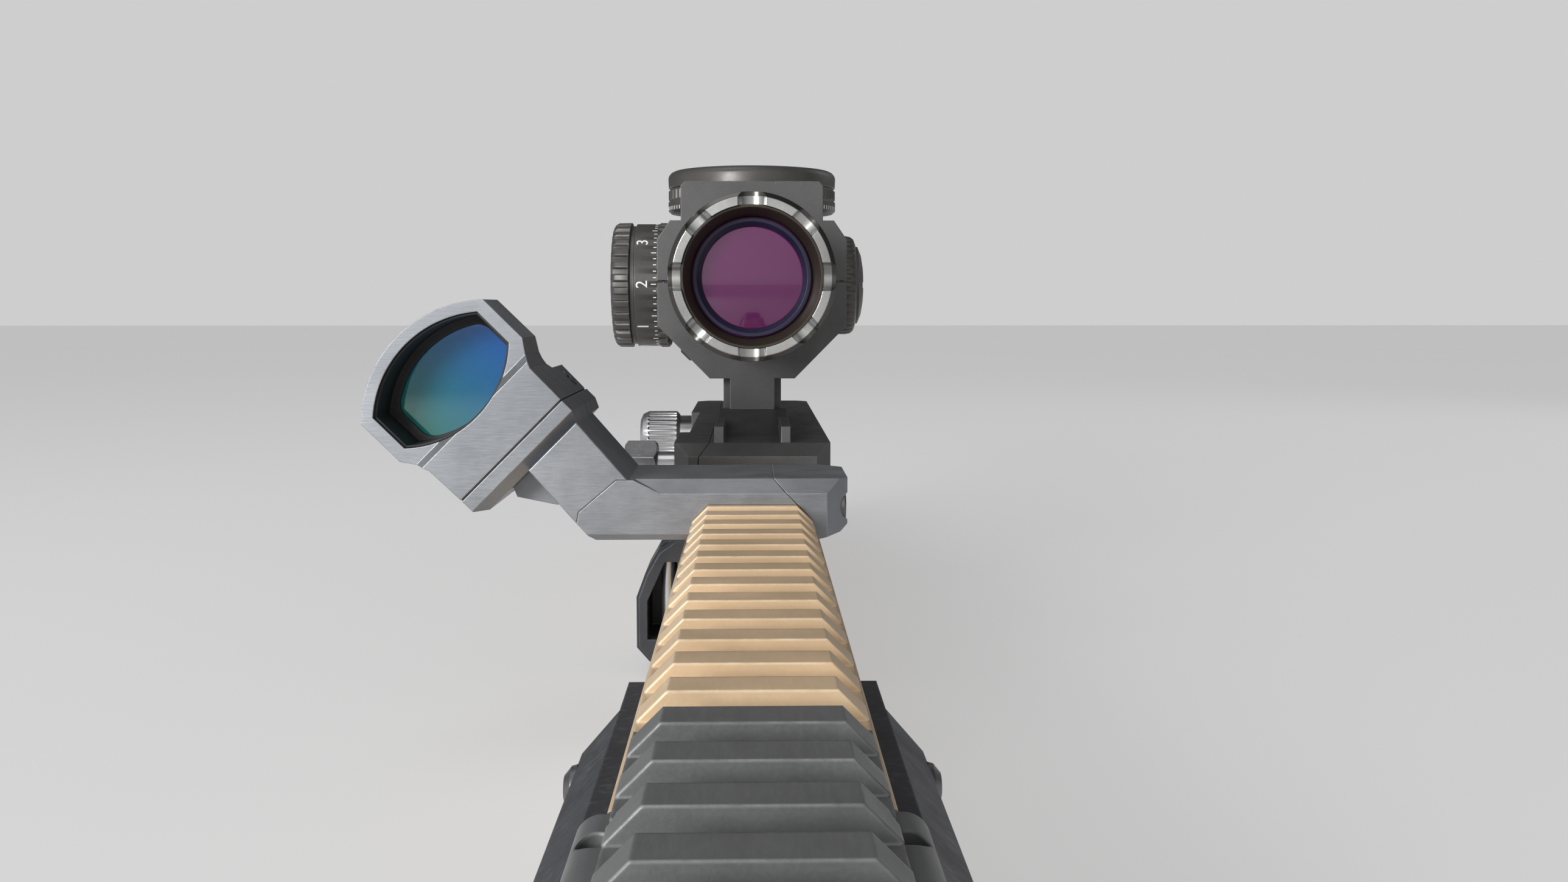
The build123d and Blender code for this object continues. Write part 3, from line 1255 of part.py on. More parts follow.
def scope_tube():
    start = RING_LENGTH
    profile = [
        (start, TUBE_BORE),
        (start, TUBE_RADIUS - 0.3),
        (start + 0.3, TUBE_RADIUS),
        (TUBE_LENGTH, TUBE_RADIUS),
        (TUBE_LENGTH, NECK_RADIUS),
        (TUBE_LENGTH + NECK_LENGTH, NECK_RADIUS),
        (TUBE_LENGTH + NECK_LENGTH, NECK_BORE),
        (TUBE_LENGTH, NECK_BORE),
        (TUBE_LENGTH - 1.5, TUBE_BORE),
    ]
    solid = turned(profile, scope_point(0), (0, 1, 0))
    half = SADDLE_LENGTH / 2
    saddle = turned([
        (SADDLE_Y - half, TUBE_RADIUS - 1),
        (SADDLE_Y - half, TUBE_RADIUS),
        (SADDLE_Y - half + 2, SADDLE_RADIUS),
        (SADDLE_Y + half - 2, SADDLE_RADIUS),
        (SADDLE_Y + half, TUBE_RADIUS),
        (SADDLE_Y + half, TUBE_RADIUS - 1),
    ], scope_point(0), (0, 1, 0))
    bosses = rod(ELEVATION_BOSS, TURRET, (0, 0, 1), ELEVATION_BASE - BOSS_GAP)
    bosses += rod(WINDAGE_BOSS, TURRET, (-1, 0, 0), WINDAGE_BASE - BOSS_GAP)
    bosses += rod(ILLUMINATION_BOSS, TURRET, (1, 0, 0), ILLUMINATION_BASE - BOSS_GAP)
    bosses -= rod(TUBE_BORE + 1, scope_point(SADDLE_Y - 30), (0, 1, 0), 60)
    solid += saddle + bosses
    solid -= rod(PLUNGER_RADIUS + RUNNING, TURRET, (0, 0, 1), 40)
    solid -= rod(PLUNGER_RADIUS + RUNNING, TURRET, (-1, 0, 0), 40)
    solid -= rod(2.0, TURRET, (1, 0, 0), 40)
    for axis, base, boss in TURRET_BOSSES:
        at = Vector(*TURRET) + Vector(*axis) * (base - BOSS_GAP - SEAL_SECTION)
        solid -= ring(boss - 1.5 + FIT, boss - 3.5 - FIT, at, axis, SEAL_SECTION + 1)
    return solid


TURRET_BOSSES = (
    ((0, 0, 1), ELEVATION_BASE, ELEVATION_BOSS),
    ((-1, 0, 0), WINDAGE_BASE, WINDAGE_BOSS),
    ((1, 0, 0), ILLUMINATION_BASE, ILLUMINATION_BOSS),
)


def turret_seals():
    """O-rings in the faces of the three bosses, shown square."""
    seals = Part()
    for axis, base, boss in TURRET_BOSSES:
        at = Vector(*TURRET) + Vector(*axis) * (base - BOSS_GAP - SEAL_SECTION)
        seals += ring(boss - 1.5, boss - 3.5, at, axis, SEAL_SECTION + 0.1)
    return seals


def objective_ring():
    """Castellated ring with rounded radial notches in its front face."""
    profile = [
        (0, RING_BORE),
        (0, TUBE_RADIUS - RING_BEVEL),
        (RING_BEVEL, TUBE_RADIUS),
        (RING_LENGTH, TUBE_RADIUS),
        (RING_LENGTH, TUBE_BORE - FIT),
        (RING_LENGTH + 3, TUBE_BORE - FIT),
        (RING_LENGTH + 3, RING_BORE),
    ]
    solid = turned(profile, scope_point(0), (0, 1, 0))
    radius = (NOTCH_DEPTH ** 2 + (NOTCH_WIDTH / 2) ** 2) / (2 * NOTCH_DEPTH)
    for index in range(NOTCHES):
        turn = index * 2 * pi / NOTCHES
        outward = (cos(turn), 0, sin(turn))
        at = Vector(*scope_point(NOTCH_DEPTH - radius)) + Vector(*outward) * (RING_BORE - 3)
        solid -= rod(radius, at, outward, 8)
    return solid


def objective_cell():
    """Cell with a stepped, thread-like bore in front of the objective lens."""
    outer = RING_BORE - FIT
    profile = [(CELL_LENGTH, CELL_SEAT - 1), (CELL_LENGTH, outer), (0.8, outer)]
    step = (RING_BORE - 0.6 - CELL_SEAT) / CELL_STEPS
    pitch = (CELL_LENGTH - LENS_EDGE - LENS_CROWN - 1.4) / CELL_STEPS
    for index in range(CELL_STEPS):
        radius = RING_BORE - 0.5 - step * index
        near = 0.8 + pitch * index
        profile.append((near, radius))
        profile.append((near + pitch * 0.5, radius - step * 1.2))
        profile.append((near + pitch * 0.5, radius - step * 0.4))
    seat = CELL_LENGTH - LENS_EDGE - 0.8
    profile += [(seat - 0.6, CELL_SEAT), (seat + LENS_EDGE, CELL_SEAT), (seat + LENS_EDGE, CELL_SEAT - 1)]
    return turned(profile, scope_point(0), (0, 1, 0))


def lens(radius, edge, crown, start):
    """Lens with two spherical faces, its near edge at the start point."""
    bulge = (radius ** 2 + crown ** 2) / (2 * crown)
    blank = rod(radius, Vector(*start) - Vector(0, crown, 0), (0, 1, 0), edge + 2 * crown)
    near = Pos(start[0], start[1] - crown + bulge, start[2]) * Sphere(bulge)
    far = Pos(start[0], start[1] + edge + crown - bulge, start[2]) * Sphere(bulge)
    return blank & near & far


def objective_lens():
    seat = CELL_LENGTH - LENS_EDGE - 0.8
    return lens(CELL_SEAT - FIT, LENS_EDGE - 0.2, LENS_CROWN - 0.6, scope_point(seat))


def elevation_dial():
    """Hollow dial that turns on the top boss."""
    height = ELEVATION_DIAL_HEIGHT
    hub = PLUNGER_RADIUS + RUNNING
    profile = [
        (0, hub),
        (0, ELEVATION_RADIUS - 0.8),
        (0.8, ELEVATION_RADIUS),
        (height, ELEVATION_RADIUS),
        (height, hub),
    ]
    at = Vector(*TURRET) + Vector(0, 0, ELEVATION_BASE)
    solid = turned(profile, at, (0, 0, 1))
    return solid - ring(ELEVATION_RADIUS - 3, hub + 3, at + Vector(0, 0, 2.4), (0, 0, 1), height)


def elevation_cap():
    height = ELEVATION_CAP_HEIGHT
    profile = [
        (0, 0),
        (0, ELEVATION_RADIUS),
        (height - 1.9, ELEVATION_RADIUS),
        (height - 0.6, ELEVATION_RADIUS - 0.6),
        (height, ELEVATION_RADIUS - 1.9),
        (height, ELEVATION_RADIUS - 6),
        (height - 0.7, ELEVATION_RADIUS - 6.7),
        (height - 0.7, 0),
    ]
    at = Vector(*TURRET) + Vector(0, 0, ELEVATION_BASE + ELEVATION_DIAL_HEIGHT)
    return turned(profile, at, (0, 0, 1))


def plunger(axis, reach):
    """Screw that a turret drives against the erector tube."""
    near = ERECTOR_RADIUS + PLUNGER_GAP
    at = Vector(*TURRET) + Vector(*axis) * near
    profile = [
        (0, 0),
        (0, PLUNGER_RADIUS - 1),
        (1, PLUNGER_RADIUS),
        (reach - near, PLUNGER_RADIUS),
        (reach - near, 0),
    ]
    return turned(profile, at, axis)


def windage_dial():
    """Dial at the left with a grip rim that stands out beyond its scale."""
    hub = PLUNGER_RADIUS + RUNNING
    profile = [
        (0, hub),
        (0, WINDAGE_RADIUS - 0.7),
        (0.7, WINDAGE_RADIUS),
        (9.2, WINDAGE_RADIUS),
        (9.8, WINDAGE_RADIUS - 1.1),
        (10.6, WINDAGE_RADIUS - 1.1),
        (11.2, WINDAGE_RADIUS),
        (WINDAGE_LENGTH - 1.4, WINDAGE_RADIUS),
        (WINDAGE_LENGTH - 0.4, WINDAGE_RADIUS - 0.5),
        (WINDAGE_LENGTH, WINDAGE_RADIUS - 1.6),
        (WINDAGE_LENGTH, 0),
        (WINDAGE_LENGTH - 3, 0),
        (WINDAGE_LENGTH - 3, hub),
    ]
    at = Vector(*TURRET) + Vector(-WINDAGE_BASE, 0, 0)
    return turned(profile, at, (-1, 0, 0))


def illumination_knob():
    profile = [
        (0, 0),
        (0, ILLUMINATION_RADIUS - 0.8),
        (0.8, ILLUMINATION_RADIUS),
        (ILLUMINATION_LENGTH - 2.4, ILLUMINATION_RADIUS),
        (ILLUMINATION_LENGTH - 0.7, ILLUMINATION_RADIUS - 0.7),
        (ILLUMINATION_LENGTH, ILLUMINATION_RADIUS - 2.4),
        (ILLUMINATION_LENGTH, CAP_RADIUS + RUNNING),
        (2.6, CAP_RADIUS + RUNNING),
        (2.6, 0),
    ]
    at = Vector(*TURRET) + Vector(ILLUMINATION_BASE, 0, 0)
    return turned(profile, at, (1, 0, 0))


def illumination_battery():
    at = Vector(*TURRET) + Vector(ILLUMINATION_BASE + 2.6, 0, 0)
    profile = [
        (0, 0),
        (0, COIN_RADIUS - 0.8),
        (0.3, COIN_RADIUS),
        (COIN_HEIGHT, COIN_RADIUS),
        (COIN_HEIGHT, 0),
    ]
    return turned(profile, at, (1, 0, 0))


def illumination_battery_cap():
    near = 2.6 + COIN_HEIGHT + 0.1
    far = ILLUMINATION_LENGTH + CAP_LENGTH
    profile = [
        (near, 0),
        (near, CAP_RADIUS),
        (ILLUMINATION_LENGTH + 0.6, CAP_RADIUS),
        (far - 0.5, CAP_RADIUS - 2.2),
        (far, CAP_RADIUS - 5),
        (far, 0),
    ]
    at = Vector(*TURRET) + Vector(ILLUMINATION_BASE, 0, 0)
    coin_slot = Pos(at.X + far, at.Y, at.Z) * Box(2.4, 14, 1.6)
    return turned(profile, at, (1, 0, 0)) - coin_slot


def gimbal_ring():
    start = scope_point(GIMBAL_Y - GIMBAL_LENGTH / 2)
    return ring(GIMBAL_RADIUS, GIMBAL_BORE, start, (0, 1, 0), GIMBAL_LENGTH)


def erector_tube():
    length = GIMBAL_Y + GIMBAL_LENGTH / 2 - ERECTOR_FRONT
    return ring(ERECTOR_RADIUS, ERECTOR_BORE, scope_point(ERECTOR_FRONT), (0, 1, 0), length)


def reticle():
    return rod(ERECTOR_BORE - FIT, scope_point(ERECTOR_FRONT + 1), (0, 1, 0), RETICLE_THICKNESS)


def lens_cell(distance):
    """Sliding cell with its lens."""
    radius = ERECTOR_BORE - RUNNING
    inner = radius - 1.4
    cell = ring(radius, inner, scope_point(distance), (0, 1, 0), CELL_RING_LENGTH)
    glass = lens(inner + 0.2, 1.8, 0.9, scope_point(distance + CELL_RING_LENGTH / 2 - 0.9))
    return cell + glass


def erector_spring():
    """Leaf that pushes the erector tube towards both plungers, held at its front end."""
    outward = Vector(cos(radians(-45)), 0, sin(radians(-45)))
    at = Vector(*scope_point(SADDLE_Y - 20)) + outward * (ERECTOR_RADIUS + 0.6)
    frame = Plane(origin=at, x_dir=(0, 1, 0), z_dir=outward)
    leaf = Pos(16, 0, 0.25) * Box(32, 6, 0.5)
    foot = Pos(1.5, 0, 2.0) * Box(3, 6, 4.0)
    return (frame * (leaf + foot)) & rod(TUBE_BORE, scope_point(SADDLE_Y - 40), (0, 1, 0), 80)


def zoom_ring():
    y = TUBE_LENGTH + 0.2
    length = ZOOM_LENGTH
    profile = [
        (y, NECK_RADIUS + RUNNING),
        (y, ZOOM_RADIUS - 1.5),
        (y + 1.5, ZOOM_RADIUS),
        (y + length - 1.5, ZOOM_RADIUS),
        (y + length, ZOOM_RADIUS - 1.5),
        (y + length, NECK_RADIUS + RUNNING),
    ]
    return turned(profile, scope_point(0), (0, 1, 0))


def lever_direction():
    turn = radians(LEVER_ANGLE)
    return Vector(cos(turn), 0, sin(turn))


def throw_lever():
    """Lever seated on the zoom ring."""
    outward = lever_direction()
    y = TUBE_LENGTH + 0.2 + ZOOM_LENGTH / 2
    frame = Plane(origin=scope_point(y), x_dir=(0, 1, 0), z_dir=outward)
    reach = LEVER_REACH - ZOOM_RADIUS + 2
    fin = Pos(0, 0, ZOOM_RADIUS - 2 + reach / 2) * Box(LEVER_LENGTH, LEVER_THICKNESS, reach)
    fin = fillet(fin.edges().filter_by(Axis.Y).sort_by(Axis.Z)[-2:], 2.4)
    fin = fillet(fin.edges().filter_by(Axis.Z), 0.8)
    return frame * fin - rod(ZOOM_RADIUS, scope_point(y - 20), (0, 1, 0), 40)


def ocular_housing():
    y = TUBE_LENGTH + NECK_LENGTH - 4
    end = y + OCULAR_LENGTH
    profile = [
        (y, NECK_RADIUS + FIT),
        (y, OCULAR_FRONT_RADIUS),
        (y + 6, OCULAR_FRONT_RADIUS),
        (y + 12, OCULAR_RADIUS),
        (end - SPIGOT_LENGTH, OCULAR_RADIUS),
        (end - SPIGOT_LENGTH, SPIGOT_RADIUS),
        (end, SPIGOT_RADIUS),
        (end, EYE_LENS_RADIUS + 0.3),
        (y + 8, EYE_LENS_RADIUS + 0.3),
        (y + 4, NECK_RADIUS - 1),
        (y + 4, NECK_RADIUS + FIT),
    ]
    return turned(profile, scope_point(0), (0, 1, 0))


def focus_start():
    return TUBE_LENGTH + NECK_LENGTH - 4 + OCULAR_LENGTH - SPIGOT_LENGTH + 0.2


def focus_ring():
    """Rear ring that turns on the ocular housing and carries the eye lens."""
    y = focus_start()
    end = y + FOCUS_LENGTH
    spigot_end = y + SPIGOT_LENGTH
    profile = [
        (y, SPIGOT_RADIUS + RUNNING),
        (y, FOCUS_RADIUS - 0.6),
        (y + 0.6, FOCUS_RADIUS),
        (end - 2, FOCUS_RADIUS),
        (end, FOCUS_RADIUS - 2),
        (end, EYE_LENS_RADIUS - 0.8),
        (end - 1.2, EYE_LENS_RADIUS - 0.8),
        (end - 1.2, EYE_LENS_RADIUS),
        (spigot_end, EYE_LENS_RADIUS),
        (spigot_end, SPIGOT_RADIUS + RUNNING),
    ]
    return turned(profile, scope_point(0), (0, 1, 0))


def ocular_lens():
    y = focus_start() + FOCUS_LENGTH - 1.2 - 2.2
    return lens(EYE_LENS_RADIUS - FIT, 2.0, 0.9, scope_point(y))


# ---- writing the pieces -------------------------------------------------------------------------
PIECES = {
    "rail_body": rail_body,
    "front_rail_section": front_rail_section,
    "front_lug_screws": front_lug_screws,
    "left_side_panel": lambda: side_panel(-1),
    "right_side_panel": lambda: side_panel(1),
    "side_panel_screws": side_panel_screws,
    "sling_loop": sling_loop,
    "sling_pin": sling_pin,
    "offset_base": offset_base,
    "offset_arm": offset_arm,
    "offset_arm_screws": offset_arm_screws,
    "offset_clamp_jaw": offset_clamp_jaw,
    "offset_screw_front": lambda: offset_screw(OFFSET_SCREW_STATIONS[0]),
    "offset_screw_rear": lambda: offset_screw(OFFSET_SCREW_STATIONS[1]),
    "sight_plate": sight_plate,
    "sight_seal": sight_seal,
    "sight_housing": sight_housing,
    "sight_lens": sight_lens,
    "sight_lens_gasket": sight_lens_gasket,
    "sight_emitter": sight_emitter,
    "sight_circuit_board": sight_circuit_board,
    "sight_screws": sight_screws,
    "sight_battery_tray": sight_battery_tray,
    "sight_battery": sight_battery,
    "brightness_up_button": lambda: brightness_button(BUTTON_STATIONS[0]),
    "brightness_down_button": lambda: brightness_button(BUTTON_STATIONS[1]),
    "sight_elevation_screw": lambda: adjuster(elevation_adjuster_axis()),
    "sight_windage_screw": lambda: adjuster(windage_adjuster_axis()),
    "scope_mount_base": scope_mount_base,
    "scope_clamp_jaw": scope_clamp_jaw,
    "clamp_bolts": clamp_bolts,
    "front_clamp_nut": front_clamp_nut,
    "rear_clamp_knob": rear_clamp_knob,
    "ring_cap_front": lambda: ring_cap(RING_STATIONS[0]),
    "ring_cap_rear": lambda: ring_cap(RING_STATIONS[1]),
    "ring_cap_screws": ring_cap_screws,
    "scope_tube": scope_tube,
    "objective_ring": objective_ring,
    "objective_cell": objective_cell,
    "objective_lens": objective_lens,
    "turret_seals": turret_seals,
    "elevation_dial": elevation_dial,
    "elevation_cap": elevation_cap,
    "elevation_plunger": lambda: plunger((0, 0, 1), ELEVATION_BASE + ELEVATION_DIAL_HEIGHT - 1),
    "windage_dial": windage_dial,
    "windage_plunger": lambda: plunger((-1, 0, 0), WINDAGE_BASE + 10),
    "illumination_knob": illumination_knob,
    "illumination_battery": illumination_battery,
    "illumination_battery_cap": illumination_battery_cap,
    "gimbal_ring": gimbal_ring,
    "erector_tube": erector_tube,
    "reticle": reticle,
    "front_lens_cell": lambda: lens_cell(FRONT_CELL_Y),
    "rear_lens_cell": lambda: lens_cell(REAR_CELL_Y),
    "erector_spring": erector_spring,
    "zoom_ring": zoom_ring,
    "throw_lever": throw_lever,
    "ocular_housing": ocular_housing,
    "focus_ring": focus_ring,
    "ocular_lens": ocular_lens,
}

os.makedirs("parts", exist_ok=True)
for name, make in PIECES.items():
    save(name, make())
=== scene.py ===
import json
from math import cos, pi, radians, sin

import bmesh
import bpy
from mathutils import Matrix, Vector


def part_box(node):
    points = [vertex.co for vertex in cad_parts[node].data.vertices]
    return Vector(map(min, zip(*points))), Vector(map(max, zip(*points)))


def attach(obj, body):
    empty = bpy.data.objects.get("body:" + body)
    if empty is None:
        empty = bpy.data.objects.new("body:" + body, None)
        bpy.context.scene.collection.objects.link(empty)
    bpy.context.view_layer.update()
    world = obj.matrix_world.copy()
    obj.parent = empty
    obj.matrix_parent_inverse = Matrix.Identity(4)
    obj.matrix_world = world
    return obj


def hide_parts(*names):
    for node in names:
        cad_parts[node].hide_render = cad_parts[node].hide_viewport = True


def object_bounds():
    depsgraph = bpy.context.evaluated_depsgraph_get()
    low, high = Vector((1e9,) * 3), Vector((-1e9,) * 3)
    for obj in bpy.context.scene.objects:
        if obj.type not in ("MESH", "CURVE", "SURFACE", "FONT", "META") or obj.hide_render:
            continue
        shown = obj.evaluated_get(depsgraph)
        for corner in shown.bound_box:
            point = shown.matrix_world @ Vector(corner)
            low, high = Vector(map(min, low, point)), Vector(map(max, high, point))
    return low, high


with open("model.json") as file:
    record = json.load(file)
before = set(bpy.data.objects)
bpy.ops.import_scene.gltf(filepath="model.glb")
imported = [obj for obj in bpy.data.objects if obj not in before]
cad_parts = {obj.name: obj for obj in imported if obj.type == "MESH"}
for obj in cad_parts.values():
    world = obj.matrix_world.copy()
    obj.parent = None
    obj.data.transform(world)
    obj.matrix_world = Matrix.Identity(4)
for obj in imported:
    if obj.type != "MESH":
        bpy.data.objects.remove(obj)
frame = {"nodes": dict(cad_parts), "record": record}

CAD_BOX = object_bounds()
RECORD = frame["record"]
MM = 0.001
X, Y, Z = Vector((1, 0, 0)), Vector((0, 1, 0)), Vector((0, 0, 1))
scene = bpy.context.scene
for spare in [o for o in bpy.data.objects if o.type in {"LIGHT", "CAMERA"}]:
    bpy.data.objects.remove(spare)


# ---- places read from the frame --------------------------------------------------------------
def middle(node):
    low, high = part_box(node)
    return (low + high) / 2


def span(node, axis, origin=0.0):
    """Start and length of a node along an axis, in millimetres from an origin in metres."""
    low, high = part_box(node)
    return (low[axis] - origin) / MM, (high[axis] - low[axis]) / MM


def radius_of(node, axis):
    """Half the width of a round node along an axis, in millimetres."""
    return span(node, axis)[1] / 2


AXIS_Z = middle("objective_ring").z              # height of the scope's axis
SCOPE_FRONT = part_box("objective_ring")[0].y
SCOPE = Vector((0, SCOPE_FRONT, AXIS_Z))
TURRET = Vector((0, middle("elevation_dial").y, AXIS_Z))
RAIL_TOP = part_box("rail_body")[1].z
SIGHT_TURN = radians(45)
ACROSS = Vector((cos(SIGHT_TURN), 0, sin(SIGHT_TURN)))      # along the reflex lens's width
LENS_ALONG = middle("sight_lens").dot(ACROSS)


# ---- materials -------------------------------------------------------------------------------
class Nodes:
    """Short names for building a node tree."""

    def __init__(self, name):
        self.material = bpy.data.materials.new(name)
        self.material.use_nodes = True
        self.tree = self.material.node_tree
        self.tree.nodes.clear()
        self.output = self.tree.nodes.new("ShaderNodeOutputMaterial")
        self.shader = self.tree.nodes.new("ShaderNodeBsdfPrincipled")
        self.link(self.shader.outputs["BSDF"], self.output.inputs["Surface"])
        self.place = self.tree.nodes.new("ShaderNodeTexCoord").outputs["Object"]

    def link(self, a, b):
        self.tree.links.new(a, b)

    def node(self, kind, **values):
        made = self.tree.nodes.new("ShaderNode" + kind)
        for key, value in values.items():
            setattr(made, key, value)
        return made

    def noise(self, scale, stretch=(1, 1, 1), detail=4.0, rough=0.55, turn=(0, 0, 0)):
        mapping = self.node("Mapping")
        mapping.inputs["Scale"].default_value = stretch
        mapping.inputs["Rotation"].default_value = turn
        self.link(self.place, mapping.inputs["Vector"])
        made = self.node("TexNoise")
        made.inputs["Scale"].default_value = scale
        made.inputs["Detail"].default_value = detail
        made.inputs["Roughness"].default_value = rough
        self.link(mapping.outputs["Vector"], made.inputs["Vector"])
        return made.outputs["Fac"]

    def ramp(self, source, stops):
        made = self.node("ValToRGB")
        while len(made.color_ramp.elements) < len(stops):
            made.color_ramp.elements.new(0.5)
        for element, (at, value) in zip(made.color_ramp.elements, stops):
            element.position = at
            if isinstance(value, (int, float)):
                value = (value, value, value)
            element.color = (*value, 1)
        self.link(source, made.inputs["Fac"])
        return made.outputs["Color"]

    def mix(self, factor, first, second, mode="MIX"):
        made = self.node("Mix", data_type="RGBA", blend_type=mode)
        sockets = (made.inputs[0], made.inputs[6], made.inputs[7])
        for socket, value in zip(sockets, (factor, first, second)):
            if hasattr(value, "is_output"):
                self.link(value, socket)
            elif isinstance(value, (int, float)):
                socket.default_value = value
            else:
                socket.default_value = (*value, 1)
        return made.outputs[2]

    def maths(self, operation, *values):
        made = self.node("Math", operation=operation)
        for socket, value in zip(made.inputs, values):
            if hasattr(value, "is_output"):
                self.link(value, socket)
            else:
                socket.default_value = value
        return made.outputs[0]

    def edges(self, radius):
        """1 along sharp outer and inner edges, 0 on faces, and the rounded normal."""
        bevel = self.node("Bevel", samples=6)
        bevel.inputs["Radius"].default_value = radius
        geometry = self.node("NewGeometry")
        dot = self.node("VectorMath", operation="DOT_PRODUCT")
        self.link(bevel.outputs["Normal"], dot.inputs[0])
        self.link(geometry.outputs["Normal"], dot.inputs[1])
        edge = self.maths("SUBTRACT", 1.0, dot.outputs["Value"])
        return edge, bevel.outputs["Normal"]

    def beyond(self, radius):
        """1 further from the scope's axis than a radius, 0 nearer."""
        offset = self.node("VectorMath", operation="SUBTRACT")
        offset.inputs[1].default_value = (0, 0, AXIS_Z)
        self.link(self.place, offset.inputs[0])
        flat = self.node("VectorMath", operation="MULTIPLY")
        flat.inputs[1].default_value = (1, 0, 1)
        self.link(offset.outputs["Vector"], flat.inputs[0])
        length = self.node("VectorMath", operation="LENGTH")
        self.link(flat.outputs["Vector"], length.inputs[0])
        share = self.node("MapRange")
        share.inputs["From Min"].default_value = radius - 0.05 * MM
        share.inputs["From Max"].default_value = radius + 0.05 * MM
        self.link(length.outputs["Value"], share.inputs["Value"])
        return share.outputs["Result"]

    def scratches(self, scale, turn, width=0.012, share=0.6):
        """Thin broken lines."""
        wave = self.node("TexVoronoi", feature="DISTANCE_TO_EDGE")
        mapping = self.node("Mapping")
        mapping.inputs["Rotation"].default_value = turn
        mapping.inputs["Scale"].default_value = (1.0, 1.0, 0.12)
        self.link(self.place, mapping.inputs["Vector"])
        self.link(mapping.outputs["Vector"], wave.inputs["Vector"])
        wave.inputs["Scale"].default_value = scale
        line = self.ramp(wave.outputs["Distance"], [(0.0, 1.0), (width, 0.0)])
        patch = self.ramp(self.noise(scale * 0.55, detail=2.0), [(share, 0.0), (share + 0.06, 1.0)])
        return self.mix(1.0, line, patch, "MULTIPLY")


def metal(name, colour, rough, metallic, marks_and_highlight_colour, grain=(1, 1, 1), spread=0.25, bump=0.12,
          edge_wear_and_highlight=0.5, scratch=0.35, edge=0.35, shade=None, fine=2600.0, outside=None):
    """Coated or bare metal: cloudy colour, directional grain, scratches, and edges lightened partly by
    wear and partly by a painted highlight.
    """
    n = Nodes(name)
    dark = tuple(c * (1 - spread) for c in colour)
    light = tuple(min(1.0, c * (1 + spread)) for c in colour)
    cloud = n.noise(70.0, detail=5.0)
    base = n.ramp(cloud, [(0.32, dark), (0.68, light)])
    grit = n.noise(fine, stretch=grain, detail=3.0, rough=0.7)
    base = n.mix(0.35, base, n.ramp(grit, [(0.3, dark), (0.7, light)]))
    if shade:
        smudge = n.ramp(n.noise(28.0, detail=3.0), [(0.42, 0.0), (0.62, 0.75)])
        base = n.mix(smudge, base, shade)
    mark = n.scratches(150.0, (0.4, 0.9, 0.3), 0.010, 1.0 - scratch)
    mark_two = n.scratches(260.0, (1.2, 0.2, 1.7), 0.016, 1.0 - scratch)
    marks = n.mix(1.0, mark, mark_two, "LIGHTEN")
    base = n.mix(n.mix(1.0, marks, (0.30, 0.30, 0.30), "MULTIPLY"), base, marks_and_highlight_colour)
    # Lighter colour along every sharp edge, inner edges too: partly edge wear, partly a painted highlight.
    rim, normal = n.edges(edge * MM)
    broken = n.ramp(n.noise(420.0, detail=5.0), [(0.35, 0.0), (0.62, 1.0)])
    rim = n.ramp(rim, [(0.02, 0.0), (0.16, 1.0)])
    rim = n.mix(1.0, n.mix(1.0, rim, broken, "MULTIPLY"), (edge_wear_and_highlight, edge_wear_and_highlight, edge_wear_and_highlight), "MULTIPLY")
    base = n.mix(rim, base, marks_and_highlight_colour)
    if outside:
        base = n.mix(n.beyond(outside[0]), base, outside[1])
    n.link(base, n.shader.inputs["Base Color"])
    n.shader.inputs["Metallic"].default_value = metallic
    spots = n.ramp(n.noise(180.0, detail=6.0), [(0.3, rough * 0.8), (0.7, min(1.0, rough * 1.25))])
    streaks = n.ramp(grit, [(0.3, rough * 0.7), (0.7, rough * 1.3)])
    n.link(n.mix(0.25, spots, streaks), n.shader.inputs["Roughness"])
    relief = n.node("Bump")
    relief.inputs["Strength"].default_value = bump
    relief.inputs["Distance"].default_value = 0.00005
    n.link(n.mix(0.3, grit, marks, "SUBTRACT"), relief.inputs["Height"])
    n.link(normal, relief.inputs["Normal"])
    n.link(relief.outputs["Normal"], n.shader.inputs["Normal"])
    return n.material


def moulded(name, colour, rough, texture=900.0, bump=0.35, marks_and_highlight_colour=None, edge=0.4):
    """Moulded polymer or rubber with a fine pebbled skin."""
    n = Nodes(name)
    light = tuple(min(1.0, c * 1.5 + 0.004) for c in colour)
    base = n.ramp(n.noise(55.0, detail=5.0), [(0.3, colour), (0.7, light)])
    pebble = n.node("TexVoronoi", feature="SMOOTH_F1")
    pebble.inputs["Scale"].default_value = texture
    n.link(n.place, pebble.inputs["Vector"])
    dust = n.ramp(n.noise(640.0, detail=6.0), [(0.52, 0.0), (0.7, 0.5)])
    base = n.mix(dust, base, marks_and_highlight_colour or light)
    # Lighter colour along sharp edges: partly wear, partly a painted highlight.
    rim, normal = n.edges(edge * MM)
    rim = n.ramp(rim, [(0.02, 0.0), (0.2, 0.7)])
    base = n.mix(rim, base, marks_and_highlight_colour or light)
    n.link(base, n.shader.inputs["Base Color"])
    shine = n.ramp(n.noise(120.0, detail=5.0), [(0.3, rough * 0.85), (0.7, min(1.0, rough * 1.15))])
    n.link(shine, n.shader.inputs["Roughness"])
    relief = n.node("Bump")
    relief.inputs["Strength"].default_value = bump
    relief.inputs["Distance"].default_value = 0.00012
    n.link(pebble.outputs["Distance"], relief.inputs["Height"])
    n.link(normal, relief.inputs["Normal"])
    n.link(relief.outputs["Normal"], n.shader.inputs["Normal"])
    return n.material


